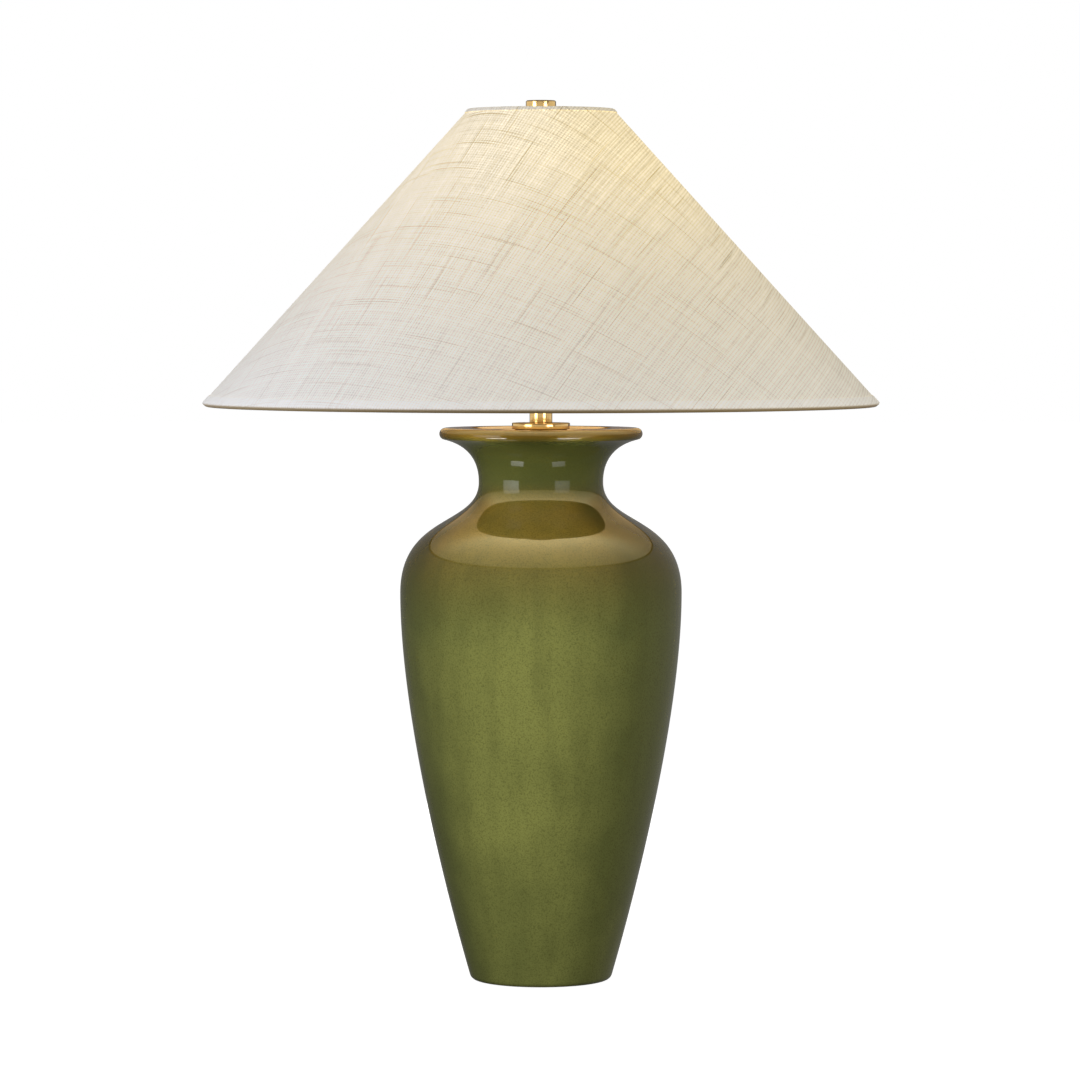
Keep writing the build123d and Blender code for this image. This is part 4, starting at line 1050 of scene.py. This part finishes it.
def styrene_lining():
    finish, place = new_finish("matt_white_styrene")
    grain = add(finish, "TexNoise", {"Vector": place, "Scale": per(STYRENE_GRAIN_MM), "Detail": 2.0})
    colour = add(finish, "Mix", {
        0: grain, MIX_A: linear("#ebe8e1"), MIX_B: linear("#f6f4ef"),
    }, data_type="RGBA")
    axes = add(finish, "SeparateXYZ", {"Vector": place})
    turn = add(finish, "Math", {0: axes.outputs["X"], 1: axes.outputs["Y"]}, operation="ARCTAN2")
    backward = add(finish, "Math", {0: turn}, operation="COSINE")
    front = add(finish, "MapRange", {"Value": backward, "From Min": 0.75, "From Max": -0.1},
                interpolation_type="SMOOTHSTEP")
    share = add(finish, "MapRange", {"Value": front, "To Min": GLOW_AT_BACK, "To Max": 1.0})
    rise = add(finish, "MapRange", {
        "Value": axes.outputs["Z"], "From Min": LINING_LOW, "From Max": LINING_HIGH,
        "To Min": GLOW_LOW, "To Max": GLOW_HIGH,
    })
    lit = add(finish, "Math", {0: share, 1: rise}, operation="MULTIPLY")
    # Straight behind, its light reaches the flat top of the jar.
    behind = add(finish, "MapRange", {
        "Value": backward, "From Min": 0.74, "From Max": 1.0, "To Max": GLOW_BEHIND,
    }, interpolation_type="SMOOTHSTEP")
    lit = add(finish, "Math", {0: lit, 1: behind}, operation="ADD")
    tint = add(finish, "Mix", {
        0: front, MIX_A: linear("#ffcb7c", LINING_GLOW), MIX_B: linear("#ffedb3", LINING_GLOW),
    }, data_type="RGBA")
    glow = add(finish, "Mix", {0: lit, MIX_A: BLACK, MIX_B: tint}, data_type="RGBA", clamp_factor=False)
    bump = add(finish, "Bump", {"Height": grain, "Strength": 0.1, "Distance": 0.1 * mm})
    shader = add(finish, "BsdfPrincipled", {
        "Base Color": colour, "Roughness": 0.6, "IOR": 1.59, "Emission Color": glow, "Emission Strength": 1.0,
        "Normal": bump,
    })
    add(finish, "OutputMaterial", {"Surface": shader})
    return finish


lining = styrene_lining()
# Its glow is set for its mirror image in the glaze, so it is left out of the light that bounces around.
nodes["shade_lining"].visible_diffuse = False
print("made", lining.name)

# %% [markdown]
# ## The felt
# A disc of pressed wool felt keeps the foot from scratching the table. Felt has no threads: fibres lie every
# way, so two noises of different size make its colour and its fuzz, and its cut edge is slightly ragged.

# %% Pressed felt
CLUMP_MM, FIBRE_MM = 4, 0.8  # fibres of 0.03 mm are drawn at 0.8 mm, so that they show
FELT_EASE, FELT_FRAY = 0.0006, 0.004


def pressed_felt():
    finish, place = new_finish("pressed_wool_felt")
    clump = add(finish, "TexNoise", {
        "Vector": place, "Scale": per(CLUMP_MM), "Detail": 4.0, "Roughness": 0.7,
    })
    fibre = add(finish, "TexNoise", {
        "Vector": place, "Scale": per(FIBRE_MM), "Detail": 3.0, "Distortion": 1.5,
    })
    mixed = add(finish, "Math", {0: clump, 1: fibre}, operation="MULTIPLY")
    tone = add(finish, "MapRange", {"Value": mixed, "From Min": 0.12, "From Max": 0.40})
    colour = add(finish, "Mix", {
        0: tone, MIX_A: linear("#20241f"), MIX_B: linear("#474d43"),
    }, data_type="RGBA")
    bump = add(finish, "Bump", {"Height": mixed, "Strength": 0.8, "Distance": 0.5 * mm})
    shader = add(finish, "BsdfPrincipled", {
        "Base Color": colour, "Roughness": 0.95, "Sheen Weight": 0.4, "Normal": bump,
    })
    add(finish, "OutputMaterial", {"Surface": shader})
    return finish


low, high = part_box("base_felt")
felt_pad = turned("felt_pad", [
    (0, low.z), (high.x - FELT_EASE, low.z), (high.x, low.z + FELT_EASE), (high.x, high.z - FELT_EASE),
    (high.x - FELT_EASE, high.z), (0, high.z),
], pressed_felt())
fuzz = np.random.default_rng(3)
for v in felt_pad.data.vertices:
    if hypot(v.co.x, v.co.y) > high.x - 2 * FELT_EASE:
        trim = 1 - fuzz.uniform(0, FELT_FRAY)
        v.co.x *= trim
        v.co.y *= trim
dress(felt_pad, "base", "dark_felt", "base_felt")

# %% [markdown]
# ## Hardware finishes
# The rest keeps its solid shape and gets the finish of its real material. One function makes them all: a
# colour that drifts between two tones, a roughness that drifts with it, and a relief, all at sizes in
# millimetres. What differs is in a table: drawn brass, zinc, enamel, rubber, moulded and rolled parts.

# %% Plain finishes
FINE_PART = 6  # the fine pattern is this many times finer than the coarse one


def plain_finish(name, tones, size_mm, rough, relief_mm, metallic=0.0, ior=1.5, stretch=(1, 1, 1)):
    finish, place = new_finish(name)
    way = add(finish, "Mapping", {"Vector": place, "Scale": stretch})
    coarse = add(finish, "TexNoise", {"Vector": way, "Scale": per(size_mm), "Detail": 3.0})
    fine = add(finish, "TexNoise", {"Vector": way, "Scale": per(size_mm / FINE_PART), "Detail": 2.0})
    drift = add(finish, "MapRange", {"Value": coarse, "From Min": 0.3, "From Max": 0.7})
    colour = add(finish, "Mix", {
        0: drift, MIX_A: linear(tones[0]), MIX_B: linear(tones[1]),
    }, data_type="RGBA")
    gloss = add(finish, "MapRange", {
        "Value": fine, "From Min": 0.3, "From Max": 0.7, "To Min": rough[0], "To Max": rough[1],
    })
    bump = add(finish, "Bump", {"Height": fine, "Strength": 0.3, "Distance": relief_mm * mm})
    shader = add(finish, "BsdfPrincipled", {
        "Base Color": colour, "Metallic": metallic, "IOR": ior, "Roughness": gloss, "Normal": bump,
    })
    add(finish, "OutputMaterial", {"Surface": shader})
    return finish


print("plain finishes have a fine pattern", FINE_PART, "times finer than the coarse one")

# %% Hardware and its finishes
# In each row: name, two tones, size of the drift in mm, range of roughness and relief in mm.
HARDWARE = {
    # Drawn and stamped: a soft shine that blurs what it mirrors.
    plain_finish("drawn_brass", ("#d3a860", "#e7c384"), 6, (0.24, 0.38), 0.03, metallic=1.0): [
        "harp_saddle", "harp_bow", "harp_stud", "left_ferrule", "right_ferrule", "socket_cap", "socket_shell",
        "spider_washer", "finial_insert", "switch_shaft", "terminal_screws", "centre_contact", "bulb_contact",
    ],
    # Dipped in a bath: cool grey with a cloudy shine.
    plain_finish("zinc_plated_steel", ("#a9adb1", "#c6c9cb"), 5, (0.28, 0.45), 0.03, metallic=1.0): [
        "lamp_pipe", "base_nut", "base_lock_washer", "base_washer", "socket_set_screw",
    ],
    # Thin sheet with the thread rolled in: pale and bright.
    plain_finish("rolled_aluminium_sheet", ("#c3c5c8", "#dadbdc"), 4, (0.22, 0.36), 0.02, metallic=1.0): [
        "screw_shell", "bulb_cap",
    ],
    # Steel wire in baked enamel: warm white, smooth, a little uneven.
    plain_finish("white_enamelled_wire", ("#e4e1d8", "#f1efe8"), 5, (0.25, 0.40), 0.04): [
        "spider_arms", "top_ring", "bottom_ring",
    ],
    # From a sanded mould: dull black.
    plain_finish("moulded_black_rubber", ("#191817", "#2a2826"), 3, (0.60, 0.80), 0.05, ior=1.52): [
        "cap_gasket", "cord_bush",
    ],
    # From a polished mould: almost black and glossy.
    plain_finish("moulded_phenolic", ("#15110e", "#231b16"), 4, (0.18, 0.32), 0.02, ior=1.6): [
        "socket_body", "switch_knob", "bulb_insulator",
    ],
    # Paper pressed in layers: tan, matt and streaked upright.
    plain_finish("pressed_fibre", ("#8e7247", "#b3945f"), 2, (0.75, 0.90), 0.08, stretch=(1, 1, 0.3)): [
        "socket_insulator",
    ],
    # From a fine mould: white and half matt.
    plain_finish("white_moulded_plastic", ("#e6e6e2", "#f3f3f0"), 3, (0.30, 0.42), 0.02): [
        "bulb_housing", "led_board",
    ],
    lining: ["shade_lining"],
}
for finish, names in HARDWARE.items():
    for name in names:
        nodes[name].data.materials.clear()
        nodes[name].data.materials.append(finish)
    print(finish.name, "on", len(names), "parts")

# %% [markdown]
# ## The bulb
# An opal plastic globe with the light inside: it glows evenly, and a little warmer towards its edge, where
# the light crosses more plastic. A lamp of the globe's size in its middle lights the brass and the jar's top.

# %% Opal globe and its light
BULB_WATTS = 0.25
GLOBE_GLOW, GLOBE_EDGE_GLOW = 6.0, 4.2
SWIRL_MM = 18


def opal_globe():
    finish, place = new_finish("lit_opal_plastic")
    swirl = add(finish, "TexNoise", {"Vector": place, "Scale": per(SWIRL_MM), "Detail": 2.0})
    colour = add(finish, "Mix", {
        0: swirl, MIX_A: linear("#f4ecda"), MIX_B: linear("#fbf7ee"),
    }, data_type="RGBA")
    edge = add(finish, "LayerWeight", {"Blend": 0.35}).outputs["Facing"]
    glow = add(finish, "Mix", {
        0: edge, MIX_A: linear("#ffebc6", GLOBE_GLOW), MIX_B: linear("#ffdfab", GLOBE_EDGE_GLOW),
    }, data_type="RGBA")
    shader = add(finish, "BsdfPrincipled", {
        "Base Color": colour, "Roughness": 0.3, "IOR": 1.58, "Emission Color": glow, "Emission Strength": 1.0,
    })
    add(finish, "OutputMaterial", {"Surface": shader})
    return finish


globe = nodes["bulb_globe"]
globe.data.materials.clear()
globe.data.materials.append(opal_globe())
for name in ("bulb_globe", "led_board", "bulb_housing"):
    nodes[name].visible_shadow = False
low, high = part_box("bulb_globe")
filament = bpy.data.lights.new("bulb_light", "POINT")
filament.energy = BULB_WATTS
filament.color = linear("#ffe2b0")[:3]
filament.shadow_soft_size = (high.x - low.x) / 2
bulb_light = bpy.data.objects.new("bulb_light", filament)
bulb_light.location = BULB_MIDDLE
bulb_light.visible_glossy = False
scene.collection.objects.link(bulb_light)
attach(bulb_light, "bulb")
print("bulb light at", BULB_MIDDLE)

# %% [markdown]
# ## Which lamp lights what
# Now that all pieces are there, each group of lamps gets the pieces it is meant for. Blender links lights to
# collections of objects, so each group needs one. The glowing lining is linked in the same way: it would
# turn the brass pale, so disc and neck don't get its light.

# %% Lamps and their pieces
def light_only(lamps, name, pieces, state="INCLUDE"):
    """Makes lamps light only these pieces, or all but these."""
    chosen = bpy.data.collections.new(name)
    for piece in pieces:
        chosen.objects.link(piece)
    for entry in chosen.collection_objects:
        entry.light_linking.link_state = state
    for one in lamps:
        one.light_linking.receiver_collection = chosen


cloth = [cover, bottom_hem, top_hem]
light_only(shade_lamps, "lit_with_the_shade", cloth)
light_only(jar_lamps, "not_lit_with_the_jar", cloth, "EXCLUDE")
light_only(neck_cards, "mirrors_the_neck_cards", [jar])
light_only(brass_cards, "mirrors_the_brass_cards", [disc, neck, finial, nodes["spider_washer"]])
light_only([nodes["shade_lining"]], "not_lit_by_the_lining", [disc, neck], "EXCLUDE")
print("lamps shared out")
